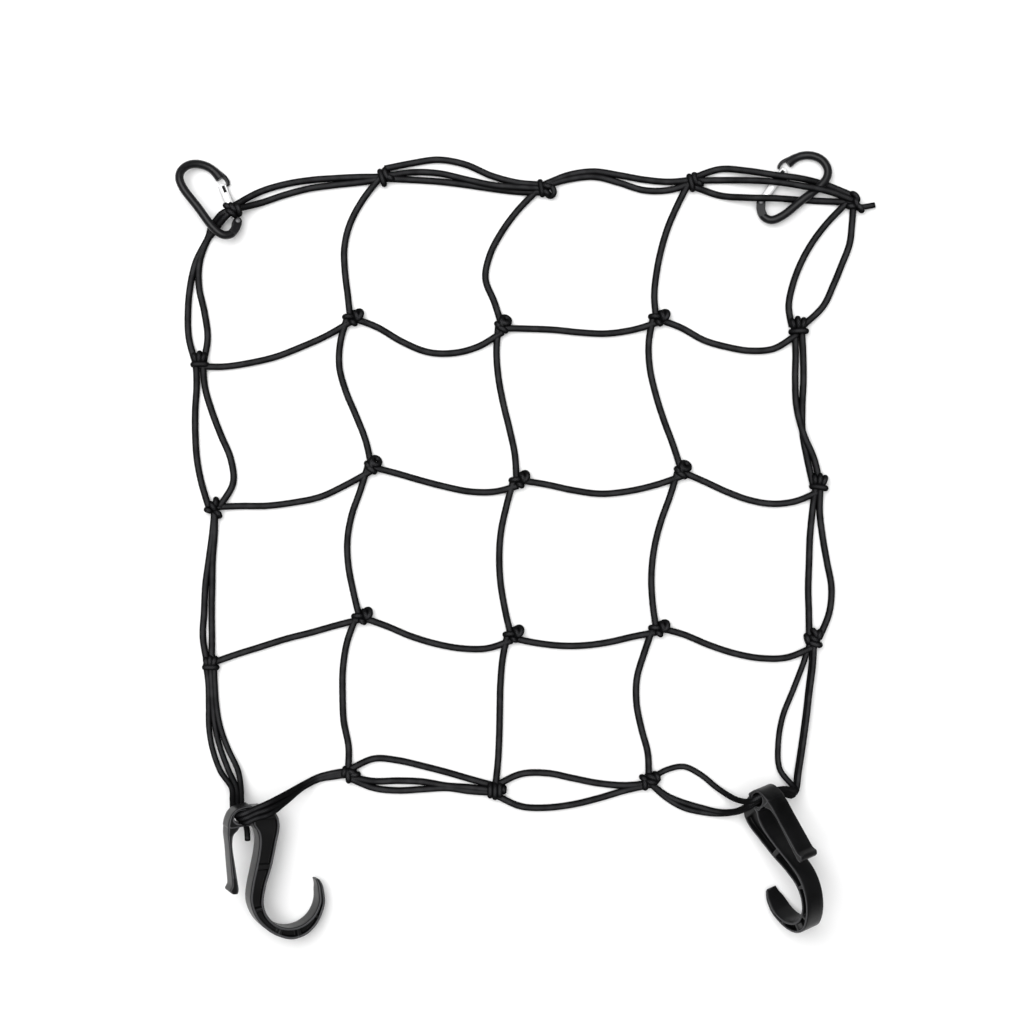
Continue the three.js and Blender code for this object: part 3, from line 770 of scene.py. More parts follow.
DOWN_EDGE = (
    Strand("A0", "B0", (0, -13.5, -18, -18, -15.5, -11, -2.5),
           via=((-200.2, 219.6, 11.6), (-205.0, 215.4, 7.4), (-208.6, 211.8, 3.8))),
    Strand("A0", "B0", (0, -13, -15.5, -12, -4.5, 1.5, 3),
           via=((-198.6, 217.0, 11.5), (-203.0, 212.8, 7.4), (-206.4, 208.6, 3.6))),
    Strand("B0", "C0", (-2, -3.5, -6, -7.5, -8, -6.5, -3)),
    Strand("B0", "C0", (2.5, 2, 5, 9.5, 14.5, 14.5, 4)),
    Strand("C0", "D0", (1, -0.5, -2.5, -4.5, -5, -5.5, -2)),
    Strand("C0", "D0", (1, 1, 0, 0, 0, 0.5, 1)),
    Strand("A4", "B4", (-4, -11.2, -15.4, -16.7, -15.6, -12, -4)),
    Strand("A4", "B4", (0, 5.5, 10, 11, 11.5, 11, 3)),
    Strand("B4", "C4", (-2, -3.5, -6, -7.5, -5.5, 0, 1.5), lift="overB4"),
    Strand("B4", "C4", (2.5, 1.5, -0.5, -3.5, -5.5, -4.5, -3)),
    Strand("C4", "D4", (-1.5, -3, -4, -4, -4, -3, -2.5)),
    Strand("C4", "D4", (1.5, 2, 4.5, 8, 11.5, 10.5, 4)),
)

ACROSS = (
    Strand("B0", "B1", (-2.5, -7.5, -10, -11, -9.5, -7, -2.5)),
    Strand("B1", "B2", (0, -5.5, -14.5, -20.5, -20.5, -15.5, -5)),
    Strand("B2", "B3", (-2.5, -3.5, -5, -7.5, -9, -7.5, -3.5)),
    Strand("B3", "B4", (-1, -5.5, -13, -16.5, -18, -15.5, -5)),
    Strand("C0", "C1", (0, -4, -8.5, -11, -12, -8.5, -3.5)),
    Strand("C1", "C2", (-1.5, -4, -7, -9.5, -11, -9.5, -4)),
    Strand("C2", "C3", (0, -4, -9, -12.5, -12, -9, -4)),
    Strand("C3", "C4", (-1.5, -6, -11, -14.5, -15, -11.5, -3.5)),
    Strand("D0", "D1", (0, 0.5, 0.5, 0.5, -0.5, -1, -2)),
    Strand("D1", "D2", (-0.5, -4.5, -9.5, -12.5, -13.5, -11.5, -4)),
    Strand("D2", "D3", (-2.5, -6.5, -9, -9.5, -8, -5, -2.5)),
    Strand("D3", "D4", (0.5, -3, -9, -13.5, -15.5, -14, -6)),
)

ACROSS_EDGE = (
    Strand("A0", "A1", (2, 9, 10.5, 9.5, 7, 4, 0), lift="fromA0"),
    Strand("A0", "A1", (0, 1.5, 3.5, 4, 2.5, 0.5, -1), lift="fromA0"),
    Strand("A1", "A2", (5.5, 10.5, 14, 12, 5.5, 2, 1.5), lift="topFlat"),
    Strand("A1", "A2", (0.5, 4.5, 5, 2, -1, -1.5, -1), lift="topCross"),
    Strand("A1", "A2", (-1, -0.5, -0.5, -1.5, -3, -4, -3.5)),
    Strand("A2", "A3", (2, 8, 9.5, 6.5, 3, 1, 1.5)),
    Strand("A2", "A3", (1, 5, 6, 1.5, -4, -4.5, -0.5)),
    Strand("A3", "A4", (3, 11, 11.4, 10.5, 10.4, 9.3, 4), lift="linkUpper"),
    Strand("A3", "A4", (1, 3.7, 5.3, 6.2, 5.2, 4.4, 1), lift="linkMiddle"),
    Strand("A3", "A4", (-3, -6.5, -6.5, -4.8, -2.8, -1.5, 0), lift="linkLower"),
    Strand("E1", "E2", (3, 11.5, 12, 10, 7.5, 4.5, 2)),
    Strand("E1", "E2", (-2, -3.5, -1.5, -0.5, -1.5, -1, -1)),
    Strand("E1", "E2", (-3, -8, -8, -5.5, -3, -3.5, -2.5)),
    Strand("E2", "E3", (2, 8.5, 8, 3.5, -1, -3.5, -3)),
    Strand("E2", "E3", (-4, -13, -15, -14, -11, -7, -4)),
)


@dataclass(frozen=True)
class HookPass:
    """Strands that go on through a hook's eye: how they come in, their way through, and how they go out."""

    inward: tuple
    through: tuple
    outward: tuple
    fan_in: tuple  # the way that the strands lie side by side as they enter the eye
    fan_out: tuple  # and as they leave it
    reach: float = 3.1  # from the middle strand to the outer ones


LEFT_PASS = HookPass(
    inward=(
        Strand("D0", "leftIn", (-3, -4.9, -7.9, -11.0, -11.9, -9.6, -3), lift="leftIn"),
        Strand("D0", "leftIn", (0, -2.7, -5.2, -6.9, -6.6, -4.0, 0), lift="leftIn"),
        Strand("D0", "leftIn", (2.5, -0.4, -2.7, -3.4, -1.6, 2.2, 3.2), lift="leftIn"),
    ),
    through=((-191.0, -160.5, 12.0), (-189.9, -168.5, 18.0), (-188.6, -177.0, 26.0),
             (-185.2, -177.8, 36.0), (-181.2, -176.5, 39.6), (-176.0, -174.2, 38.2)),
    outward=(
        Strand("leftOut", "E1", (2, 3.7, 4.3, 5.1, 5.7, 4.4, 2), lift="leftOut"),
        Strand("leftOut", "E1", (0, -0.2, 0.7, 3.4, 4.1, 2.8, 0.8), lift="leftOut"),
        Strand("leftOut", "E1", (-2, -4.0, -0.9, 3.0, 3.8, 1.6, -0.5), lift="leftOutLow"),
    ),
    fan_in=(0.923, 0.008, -0.385), fan_out=(0.1, -0.99, 0.0))

RIGHT_PASS = HookPass(
    inward=(
        Strand("D4", "rightIn", (-1, -4.1, -8.5, -13, -13.6, -10.4, -4), lift="rightInLow"),
        Strand("D4", "rightIn", (1, 2.5, 2.5, 2.8, 2.7, 2.1, 0), lift="rightInHigh"),
        Strand("D4", "rightIn", (0.5, 1.5, 1.7, 2, 1.9, 1.3, 0), lift="rightInLow"),
    ),
    through=((178.5, -164.0, 10.5), (170.5, -162.0, 17.0), (162.7, -162.3, 23.9), (157.0, -164.1, 27.2),
             (151.3, -165.9, 30.5), (147.5, -168.6, 29.5)),
    outward=(
        Strand("rightOut", "E3", (1, -0.6, 3.1, 9.6, 12.6, 8.2, 0), lift="rightOut"),
        Strand("rightOut", "E3", (-1, -8.2, -12.3, -12.2, -11.3, -9, -3), lift="rightOut"),
        Strand("rightOut", "E3", (-1.9, -9.2, -13.9, -15.3, -14.9, -11, -3.4), lift="rightOutLow"),
    ),
    fan_in=(-0.289, -0.552, -0.782), fan_out=(-0.2, -0.7, -0.68))

CUT_ENDS = (
    ((219.0, 224.6, 4.3), (225.0, 224.9, 3.4), (232.6, 226.3, 2.6)),
    ((-188.6, -171.0, 17.0), (-184.6, -180.5, 19.0), (-182.6, -188.0, 22.5), (-182.0, -193.0, 25.5)),
)


@dataclass(frozen=True)
class Winding:
    """One wrap of cord in a knot.

    along and aside place its middle in the knot, and high lifts it. Its band runs across the
    turn, in degrees from the knot's length, and lean lays it over. across and rise are half its
    width and half its height.
    """

    along: float
    aside: float
    turn: float
    across: float
    rise: float
    lean: float = 0.0
    high: float = 0.0

    def path(self) -> np.ndarray:
        """Draw the wrap.

        A point lies at across times the cosine of its phase sideways, and at rise times the
        sine up the leaning direction.

        Returns:
            The wrap's points in the knot's own frame, once round from its lowest point.
        """
        phase = np.linspace(-0.25, 0.75, WRAP_POINTS, endpoint=False) * 2 * math.pi
        way, lean = math.radians(self.turn), math.radians(self.lean)
        axis = np.array([math.cos(way), math.sin(way), 0.0])
        over = np.array([-math.sin(way), math.cos(way), 0.0])
        up = math.sin(lean) * axis + math.cos(lean) * Z_AXIS
        middle = np.array([self.along, self.aside, self.high])
        return middle + self.across * np.cos(phase)[:, None] * over + self.rise * np.sin(phase)[:, None] * up


class KnotForm(Enum):
    """How a knot is wrapped, as its wraps seen from above, round its spot."""

    SIDE = (  # a flat band on the left, a round loop on the upper right, a bump below
        Winding(-1.7, 0.2, 90, 2.8, 2.6, lean=8),
        Winding(4.2, 1.7, -38, 2.9, 2.9, lean=44, high=0.3),
        Winding(2.6, 0.9, 18, 2.5, 2.7, lean=20),
        Winding(0.9, -3.3, 58, 1.5, 2.2),
    )
    TOP = (  # a round loop above, a slanting band below it
        Winding(1.6, 2.7, 62, 2.8, 3.0, lean=-44, high=0.4),
        Winding(-0.4, 1.0, 10, 2.6, 2.7, lean=-10),
        Winding(-0.7, -3.0, 62, 2.9, 2.5),
        Winding(-3.2, -0.6, 40, 1.4, 2.2),
    )
    CAP = (  # ridges side by side over a level band
        Winding(-3.1, 1.5, 12, 2.3, 2.5),
        Winding(0.1, 1.9, 0, 3.0, 3.0, high=0.2),
        Winding(3.2, 1.6, -14, 2.4, 2.6),
        Winding(0.3, -3.1, 90, 4.7, 2.4, lean=6),
    )
    THREE = (
        Winding(2.0, 3.2, 5, 2.0, 2.6),
        Winding(0.2, 0.2, 35, 2.4, 2.5),
        Winding(-3.0, -2.2, 70, 1.5, 2.3),
        Winding(2.8, -4.6, 48, 1.9, 2.3, lean=20),
    )
    BALL = (
        Winding(-3.8, -0.4, 15, 2.2, 2.5),
        Winding(0.4, 3.0, 25, 2.7, 2.8, lean=25),
        Winding(4.0, 2.2, -12, 2.3, 2.6),
        Winding(1.4, -3.4, 74, 3.4, 2.5, lean=-10),
        Winding(0.6, -0.2, 60, 2.6, 2.6),
    )
    SLANT = (  # one slanting band and the loop behind it
        Winding(-1.8, -0.6, 18, 4.5, 2.8),
        Winding(1.6, 1.8, 24, 3.4, 2.6, lean=-22),
        Winding(3.4, -0.6, 60, 2.0, 2.3),
    )
    HEEL = (  # a band and a wide loop that lies on the lower right
        Winding(-2.6, -0.8, 10, 4.3, 2.8),
        Winding(3.4, -2.9, 20, 3.1, 3.1, lean=52),
        Winding(1.4, 0.9, 75, 2.9, 2.6, lean=-12),
        Winding(0.6, -3.6, 55, 2.2, 2.3),
    )
    COLLAR = (
        Winding(0.4, 3.0, 38, 3.0, 2.9, lean=24),
        Winding(1.5, -0.6, 20, 2.6, 2.6),
        Winding(-1.8, -2.9, 80, 2.0, 2.4),
        Winding(4.0, -3.8, 42, 2.3, 2.4),
    )
    CROSSED = (
        Winding(-3.3, 1.8, 60, 1.7, 2.4),
        Winding(3.1, -0.2, 22, 3.1, 2.7, lean=24),
        Winding(0.3, 1.0, 42, 2.7, 2.6),
        Winding(-0.9, -2.2, 55, 2.8, 2.4),
    )
    PLUG = (
        Winding(-0.8, -1.0, 4, 3.7, 2.8),
        Winding(-3.4, 1.2, -10, 2.2, 2.4),
        Winding(3.4, -0.3, 90, 2.3, 2.4),
        Winding(1.5, 1.6, 70, 2.1, 2.5),
    )
    BLOCK = (
        Winding(-3.2, -0.7, 0, 3.9, 2.6),
        Winding(0.0, -1.4, 0, 4.3, 3.0),
        Winding(3.2, -0.8, 0, 3.7, 2.6),
        Winding(5.9, -0.4, 0, 1.3, 2.0),
    )
    FORK = (
        Winding(-3.8, -3.0, 6, 3.1, 2.5),
        Winding(-4.4, 0.4, 60, 1.6, 2.3),
        Winding(0.8, 1.0, 68, 3.2, 2.7, lean=10),
        Winding(3.8, 1.2, 20, 2.3, 2.6, lean=20),
        Winding(0.6, -1.9, 82, 3.0, 2.4),
    )


@dataclass(frozen=True)
class Knot:
    """Where a knot is, how it is wrapped, how far it is turned, in degrees, its size and its shift."""

    at: str
    form: KnotForm
    turn: float = 0.0
    size: float = 1.0
    shift: tuple = (0.0, 0.0, 0.0)

    def spin(self) -> np.ndarray:
        """Return the matrix that turns a wrap by the knot's own turn."""
        cos, sin = math.cos(math.radians(self.turn)), math.sin(math.radians(self.turn))
        return np.array([[cos, -sin, 0], [sin, cos, 0], [0, 0, 1]])


KNOTS = (
    Knot("A0", KnotForm.CROSSED), Knot("A1", KnotForm.SLANT), Knot("A2", KnotForm.HEEL),
    Knot("A3", KnotForm.SLANT, -3), Knot("A4", KnotForm.COLLAR),
    Knot("B0", KnotForm.CAP, 0, 0.95, (0.2, 1.6, 0)), Knot("B1", KnotForm.SIDE), Knot("B2", KnotForm.TOP),
    Knot("B3", KnotForm.SIDE, -4), Knot("B4", KnotForm.CAP, 3, 1.08),
    Knot("C0", KnotForm.THREE), Knot("C1", KnotForm.TOP, -8), Knot("C2", KnotForm.SIDE, 6),
    Knot("C3", KnotForm.TOP, -4), Knot("C4", KnotForm.CAP, -8, 1.0, (0.6, 2.8, 0)),
    Knot("D0", KnotForm.CAP, 0, 0.85), Knot("D1", KnotForm.SIDE, 2), Knot("D2", KnotForm.SIDE, 4),
    Knot("D3", KnotForm.SIDE, -2), Knot("D4", KnotForm.BALL), Knot("E1", KnotForm.PLUG),
    Knot("E2", KnotForm.BLOCK), Knot("E3", KnotForm.FORK),
)


@dataclass(frozen=True)
class CargoNet:
    """The net of elastic cord: its strands, the knots where they meet, and its cut ends."""

    radius: float = 2.24  # of the cord between knots
    spacing: float = 2.2  # of its rings
    sides: int = 14
    entry: float = 4.3  # height at which a strand goes into a knot
    lie: float = 2.3  # height of its middle on the floor
    knot_cord: float = 1.92  # radius of the cord where a knot pulls it tight
    knot_height: float = 4.4  # of a knot's middle
    knot_sides: int = 16
    pass_radius: float = 1.95  # of the cord in a hook's eye and at the cut ends

    def points(self, strand: Strand, side: np.ndarray) -> np.ndarray:
        """Place a strand's points.

        Each lies at its share of the straight way from start to end, plus its bow in the
        direction of the side.

        Args:
            strand: the strand's row.
            side: the direction of its bow.

        Returns:
            Its points, from one knot's middle to the next.
        """
        start, end = (np.array((*SPOTS[name], self.entry)[:3], float) for name in (strand.start, strand.end))
        share = np.linspace(0, 1, len(strand.bow))[:, None]
        points = start + (end - start) * share + np.asarray(strand.bow, float)[:, None] * side
        if strand.lift:
            points[:, 2] = LIFTS[strand.lift]
        else:
            points[1:-1, 2] = self.lie
        if strand.via:
            points = np.concatenate([points[:1], strand.via, points[1:]])
        return points

    def cord(self, points: np.ndarray, radius: float) -> Shell:
        """Sweep a cord through points.

        Args:
            points: the cord's way.
            radius: its radius.

        Returns:
            The cord.
        """
        return sweep(smooth_curve(points, self.spacing), radius, self.sides)

    def strands(self, rows: Sequence[Strand], side: np.ndarray) -> Shell:
        """Sweep several strands that bow the same way.

        Args:
            rows: their rows.
            side: the direction of their bows.

        Returns:
            The strands, in one shell.
        """
        return Shell.joined([self.cord(self.points(row, side), self.radius) for row in rows])

    def through(self, way: HookPass) -> Shell:
        """Sweep the strands that pass through a hook's eye.

        Beside the middle one, a strand lies off the way by the reach times a direction that
        turns from the eye's own fan to the fan outside it.

        Args:
            way: how they come, pass and go.

        Returns:
            The strands, in one shell.
        """
        middle = np.asarray(way.through, float)
        share = np.linspace(0, 1, len(middle))[:, None]
        fan = unit((1 - share) * np.asarray(way.fan_in) + share * np.asarray(way.fan_out))
        shells = []
        for place, (first, last) in zip((-1, 0, 1), zip(way.inward, way.outward)):
            route = np.concatenate([
                self.points(first, X_AXIS)[:-1], middle + place * way.reach * fan,
                self.points(last, Y_AXIS)[1:]])
            shells.append(self.cord(route, self.pass_radius))
        return Shell.joined(shells)

    def knots(self) -> Shell:
        """Wrap every knot.

        A wrap is scaled and turned with its knot, and then put at the knot's spot and shift.

        Returns:
            All wraps, in one shell.
        """
        shells = []
        for knot in KNOTS:
            at = np.array((*SPOTS[knot.at], self.knot_height * knot.size)[:3])
            for wrap in knot.form.value:
                path = knot.size * wrap.path() @ knot.spin().T + at + knot.shift
                shells.append(sweep(path, self.knot_cord, self.knot_sides, closed=True))
        return Shell.joined(shells)

    def cut_ends(self) -> Shell:
        """Sweep the cut ends that stick out of the knots."""
        return Shell.joined([self.cord(np.asarray(points), self.pass_radius) for points in CUT_ENDS])

    def build(self) -> None:
        """Make the net's pieces."""
        for name, shell in (
            ("net_strands_down", self.strands(DOWN, X_AXIS)),
            ("net_strands_across", self.strands(ACROSS, Y_AXIS)),
            ("net_edge_down", self.strands(DOWN_EDGE, X_AXIS)),
            ("net_edge_across", self.strands(ACROSS_EDGE, Y_AXIS)),
            ("net_through_left_hook", self.through(LEFT_PASS)),
            ("net_through_right_hook", self.through(RIGHT_PASS)),
            ("net_knots", self.knots()),
            ("net_cut_ends", self.cut_ends()),
        ):
            make_piece(name, shell, CORD, "net", ["net"])


# ---------------------------------------------------------------- moulded and bent parts


@dataclass(frozen=True)
class Place:
    """Where a hook or a link lies: a point of the tables and the directions of its own axes."""

    at: tuple
    along: tuple
    across: tuple

    def turn(self) -> np.ndarray:
        """Work out how the part is turned.

        The third axis is square to both given directions, and the second to it and the first.

        Returns:
            The matrix whose columns are the directions of the part's three axes.
        """
        first = unit(np.asarray(self.along, float))
        third = unit(np.cross(first, np.asarray(self.across, float)))
        return np.stack([first, np.cross(third, first), third], 1)


@dataclass
class Bar:
    """A flat moulded bar with rounded edges and, where asked, recesses in both faces.

    inner and outer are its two edges at each row; low and high are its faces' heights.
    """

    inner: Points
    outer: Points
    low: float
    high: float
    closed: bool = False
    fillet: float = 0.8
    spacing: float = 0.55
    pockets: tuple = ()  # first and last row of each recess
    rim: float = 1.6  # width of the face that is left beside a recess
    deep: float = 0.0
    wall: float = 0.45  # how far the side of a recess runs while it falls
    taper_rows: tuple = (0.0, 1.0)  # the rows where the bar begins to get thinner and where it ends
    taper: float = 0.0  # share of its thickness that each face loses by then
    samples: int = 60  # points that the middle line is measured by, between two rows
    end_rings: tuple = (0.03, 0.12, 0.3, 0.55, 0.9)  # more rings at a rounded end, in fillets from it
    corner_limits: tuple = (0.45, 0.05)  # a corner's greatest share of the width, and least of the fillet
    rim_marks: tuple = (0.0, 0.5, 1.1)  # points on the rim and just inside a recess, in rims
    wall_points: int = 6
    floor_points: int = 5
    narrow: float = 0.48  # share of a narrow bar's width that rim and wall are fitted into

    def rows_at(self) -> np.ndarray:
        """Choose where along the bar its rings lie.

        Returns:
            Row numbers, even along the middle line and closer together at rounded ends.
        """
        middle = (np.asarray(self.inner, float) + np.asarray(self.outer, float)) / 2
        last = len(middle) if self.closed else len(middle) - 1
        t = np.linspace(0, last, self.samples * last, endpoint=not self.closed)
        far = run_of(through_rows(middle, t, self.closed))
        even = np.linspace(0, far[-1], int(far[-1] / self.spacing), endpoint=not self.closed)
        if not self.closed:
            near = self.fillet * np.array(self.end_rings)
            even = np.unique(np.concatenate([even, near, far[-1] - near]))
        return np.interp(even, far, t)

    def crossings(self, width: np.ndarray, first: np.ndarray, last: np.ndarray) -> np.ndarray:
        """Choose how far across a face its points lie.

        They follow the rim, the recess's wall and its floor, and are the same from both edges.
        None of them lies past the face's own ends.

        Args:
            width: the bar's width at each ring.
            first: where the face starts.
            last: where it ends.

        Returns:
            Distances from the inner edge, a row for each ring.
        """
        on_rim, mid_rim, inside = self.rim_marks
        foot = self.wall / self.rim
        wall = np.linspace(0, 1, self.wall_points) * self.wall / self.rim
        marks = np.concatenate([[on_rim, mid_rim], 1 + wall, [inside + foot]]) * self.rim
        fit = np.minimum(1, self.narrow * width / marks[-1])[:, None]
        left = np.maximum(marks * fit, first[:, None])
        right = np.minimum(width[:, None] - left[:, ::-1], last[:, None])
        floor = np.linspace(0, 1, self.floor_points + 2)[1:-1]
        return np.concatenate([left, left[:, -1:] + (right[:, :1] - left[:, -1:]) * floor, right], 1)

    def sunk(self, x: np.ndarray, width: np.ndarray, t: np.ndarray, run: np.ndarray) -> np.ndarray:
        """Work out how far a face's points are sunk.

        A recess is as deep as the product of soft steps from its ends and from the two rims.

        Args:
            x: how far across each point lies.
            width: the bar's width at each ring.
            t: the rings' row numbers.
            run: how far along the bar they lie.

        Returns:
            A depth for each point.
        """
        recess = np.zeros(len(t))
        for first, last in self.pockets:
            pace = np.gradient(run, t)
            edge_in, edge_out = (t - first) * pace / self.wall, (last - t) * pace / self.wall
            recess = np.maximum(recess, step(edge_in) * step(edge_out))
        return self.deep * recess[:, None] * step((x - self.rim) / self.wall) * step(
            (width[:, None] - self.rim - x) / self.wall)

    @staticmethod
    def rings(edges: Points, faces: Points, corner: np.ndarray, x: np.ndarray, drop: np.ndarray) -> tuple:
        """Lay out the points of every ring.

        Each ring goes up the inner edge, across the upper face, down the outer edge and back
        across the lower face. At a corner the points lie in from the edge and from the face by
        the corner's radius times one minus the cosine, or one minus the sine, of the turn.

        Args:
            edges: where across the inner and the outer edge lie.
            faces: the heights of the lower and the upper face.
            corner: the corners' radius.
            x: how far across each point of a face lies.
            drop: how far it is sunk.

        Returns:
            How far across the points lie, and how high.
        """
        x0, x1, low, high, c = (value[:, None] for value in (*edges, *faces, corner))
        cos, sin = 1 - np.cos(QUARTER), 1 - np.sin(QUARTER)
        heights = low + c + (high - low - 2 * c) * SIDE_SHARES
        parts = (
            (np.broadcast_to(x0, heights.shape), heights),
            (x0 + c * cos, high - c * sin),
            (x, high - drop),
            (x1 - c * sin, high - c * cos),
            (np.broadcast_to(x1, heights.shape), heights[:, ::-1]),
            (x1 - c * cos, low + c * sin),
            (x[:, ::-1], low + drop[:, ::-1]),
            (x0 + c * sin, low + c * cos),
        )
        return tuple(np.concatenate(values, 1) for values in zip(*parts))

    def shell(self) -> Shell:
        """Build the bar.

        Towards a rounded end both edges and both faces draw in, each along a quarter circle:
        by the fillet minus the root of its square less the square of what the end still lacks.

        Returns:
            The bar, in its own axes.
        """
        t = self.rows_at()
        inner = through_rows(np.asarray(self.inner, float), t, self.closed)
        outer = through_rows(np.asarray(self.outer, float), t, self.closed)
        run = run_of((inner + outer) / 2)
        width = np.linalg.norm(outer - inner, axis=1)
        way = (outer - inner) / width[:, None]
        share = np.clip((t - self.taper_rows[0]) / (self.taper_rows[1] - self.taper_rows[0]), 0, 1)
        bite = self.taper * (self.high - self.low) * share
        if self.closed:
            near = np.full(len(t), self.fillet)
        else:
            near = np.minimum(np.minimum(run, run[-1] - run), self.fillet)
        inset = self.fillet - np.sqrt(np.maximum(self.fillet**2 - (self.fillet - near)**2, 0))
        edges = inset, width - inset
        faces = self.low + bite + inset, self.high - bite - inset
        widest, least = self.corner_limits
        corner = np.minimum(self.fillet, widest * (edges[1] - edges[0]))
        corner = corner * np.clip(near / self.fillet, least, 1)
        x = self.crossings(width, edges[0] + corner, edges[1] - corner)
        across, height = self.rings(edges, faces, corner, x, self.sunk(x, width, t, run))
        flat = inner[:, None] + across[:, :, None] * way[:, None]
        return grid_shell(np.concatenate([flat, height[:, :, None]], 2), run, capped=not self.closed)


@dataclass(frozen=True)
class MouldedHook:
    """A moulded hook: tip, bow and ribbed shank in one bar, an eye in its head, and a snap tongue."""

    name: str
    place: Place
    depth: float = 13.6
    bow_centre: tuple = (-0.7, 27.2)
    bow_radius: float = 19.0
    eye: tuple = (-34.0, 83.4)
    eye_across: float = 5.9  # half of its width
    eye_along: float = 4.2  # half of its height
    eye_set_back: float = 0.06  # of the ring's faces behind the hook's
    rim: float = 1.6
    pocket: float = 3.4  # depth of a recess
    tip: tuple = (((16.3, 39.0), (18.9, 38.8)), ((17.6, 35.0), (20.9, 35.4)))  # inner and outer points
    tip_rows: tuple = (2.7, 0.0)  # the rows between which the hook gets thinner towards its tip
    tip_taper: float = 0.22  # share of the depth that each face has lost there
    bow: tuple = (  # angle round the bow, and how thick the rim is there
        (12, 3.8), (-10, 4.3), (-31, 5.0), (-49, 6.3), (-68, 7.5), (-88, 7.8),
        (-107, 6.8), (-127, 6.4), (-149, 7.1), (-168, 8.2), (-184, 9.2))
    shank: tuple = (  # height, left edge, right edge
        (38.5, -27.8, -17.8), (48.8, -25.6, -14.6), (58.0, -23.8, -12.5), (67.0, -22.9, -10.7),
        (73.0, -24.0, -9.4), (78.0, -27.0, -9.2), (83.0, -27.4, -10.6), (87.0, -27.6, -14.6),
        (89.7, -28.0, -20.4))
    pockets: tuple = (  # first and last row of each recess
        (3.06, 4.14), (4.46, 6.29), (6.61, 7.99), (8.31, 10.74), (11.06, 13.94), (14.26, 18.6))
    eye_ring: tuple = (  # angle round the eye, and how far out the head's edge is there
        (0, 7.4), (30, 8.2), (53, 9.3), (75, 7.4), (90, 6.75), (104, 6.6), (130, 6.9), (157, 7.6),
        (178, 8.6), (197, 10.1), (214, 11.9), (229, 9.5), (245, 7.4), (265, 6.35), (289, 6.4), (318, 8.3))
    eye_spacing: float = 0.5
    tongue: tuple = (  # height, left edge, right edge
        (78.4, -43.7, -35.4), (75.0, -43.95, -37.4), (72.0, -44.0, -40.2), (67.6, -43.5, -41.0),
        (63.2, -43.0, -40.9), (56.0, -42.4, -39.8), (48.0, -41.7, -38.5), (40.0, -41.0, -37.2),
        (37.4, -41.6, -36.8), (35.2, -42.6, -36.7), (33.2, -40.6, -37.4))
    tongue_set_back: float = 0.12  # of its faces behind the hook's
    tongue_fillet: float = 0.6

    def body(self) -> Shell:
        """Build tip, bow, shank and head.

        A point of the bow lies at its centre plus the radius, or the radius and the thickness,
        times the cosine and sine of the row's angle.

        Returns:
            The bar.
        """
        angle = np.radians([row[0] for row in self.bow])
        ray = np.stack([np.cos(angle), np.sin(angle)], 1)
        thick = np.array([[row[1]] for row in self.bow])
        centre = np.asarray(self.bow_centre)
        shank = np.asarray(self.shank, float)
        inner = np.concatenate([
            [row[0] for row in self.tip], centre + self.bow_radius * ray, shank[:, [2, 0]]])
        outer = np.concatenate([
            [row[1] for row in self.tip], centre + (self.bow_radius + thick) * ray, shank[:, [1, 0]]])
        return Bar(inner, outer, 0.0, self.depth, pockets=self.pockets, rim=self.rim, deep=self.pocket,
                   taper_rows=self.tip_rows, taper=self.tip_taper).shell()

    def eye_loop(self) -> Shell:
        """Build the ring round the eye.

        Its inner edge is the eye's ellipse and its outer edge lies at the table's reach.

        Returns:
            The ring.
        """
        table = np.asarray(self.eye_ring, float)
        angle = np.radians(table[:, 0])
        ray = np.stack([np.cos(angle), np.sin(angle)], 1)
        centre = np.asarray(self.eye)
        hole = 1 / np.hypot(ray[:, 0] / self.eye_across, ray[:, 1] / self.eye_along)
        return Bar(centre + hole[:, None] * ray, centre + table[:, 1:] * ray, self.eye_set_back,
                   self.depth - self.eye_set_back, closed=True, spacing=self.eye_spacing).shell()

    def snap_tongue(self) -> Shell:
        """Build the tongue that springs across the hook's mouth, with its flared foot."""
        table = np.asarray(self.tongue, float)
        return Bar(table[:, [2, 0]], table[:, [1, 0]], self.tongue_set_back,
                   self.depth - self.tongue_set_back, fillet=self.tongue_fillet).shell()

    def build(self) -> None:
        """Make the hook's piece."""
        shells = [part.placed(self.place.turn(), self.place.at)
                  for part in (self.body(), self.eye_loop(), self.snap_tongue())]
        make_piece(f"{self.name}_moulding", Shell.joined(shells), NYLON, "net", [self.name])


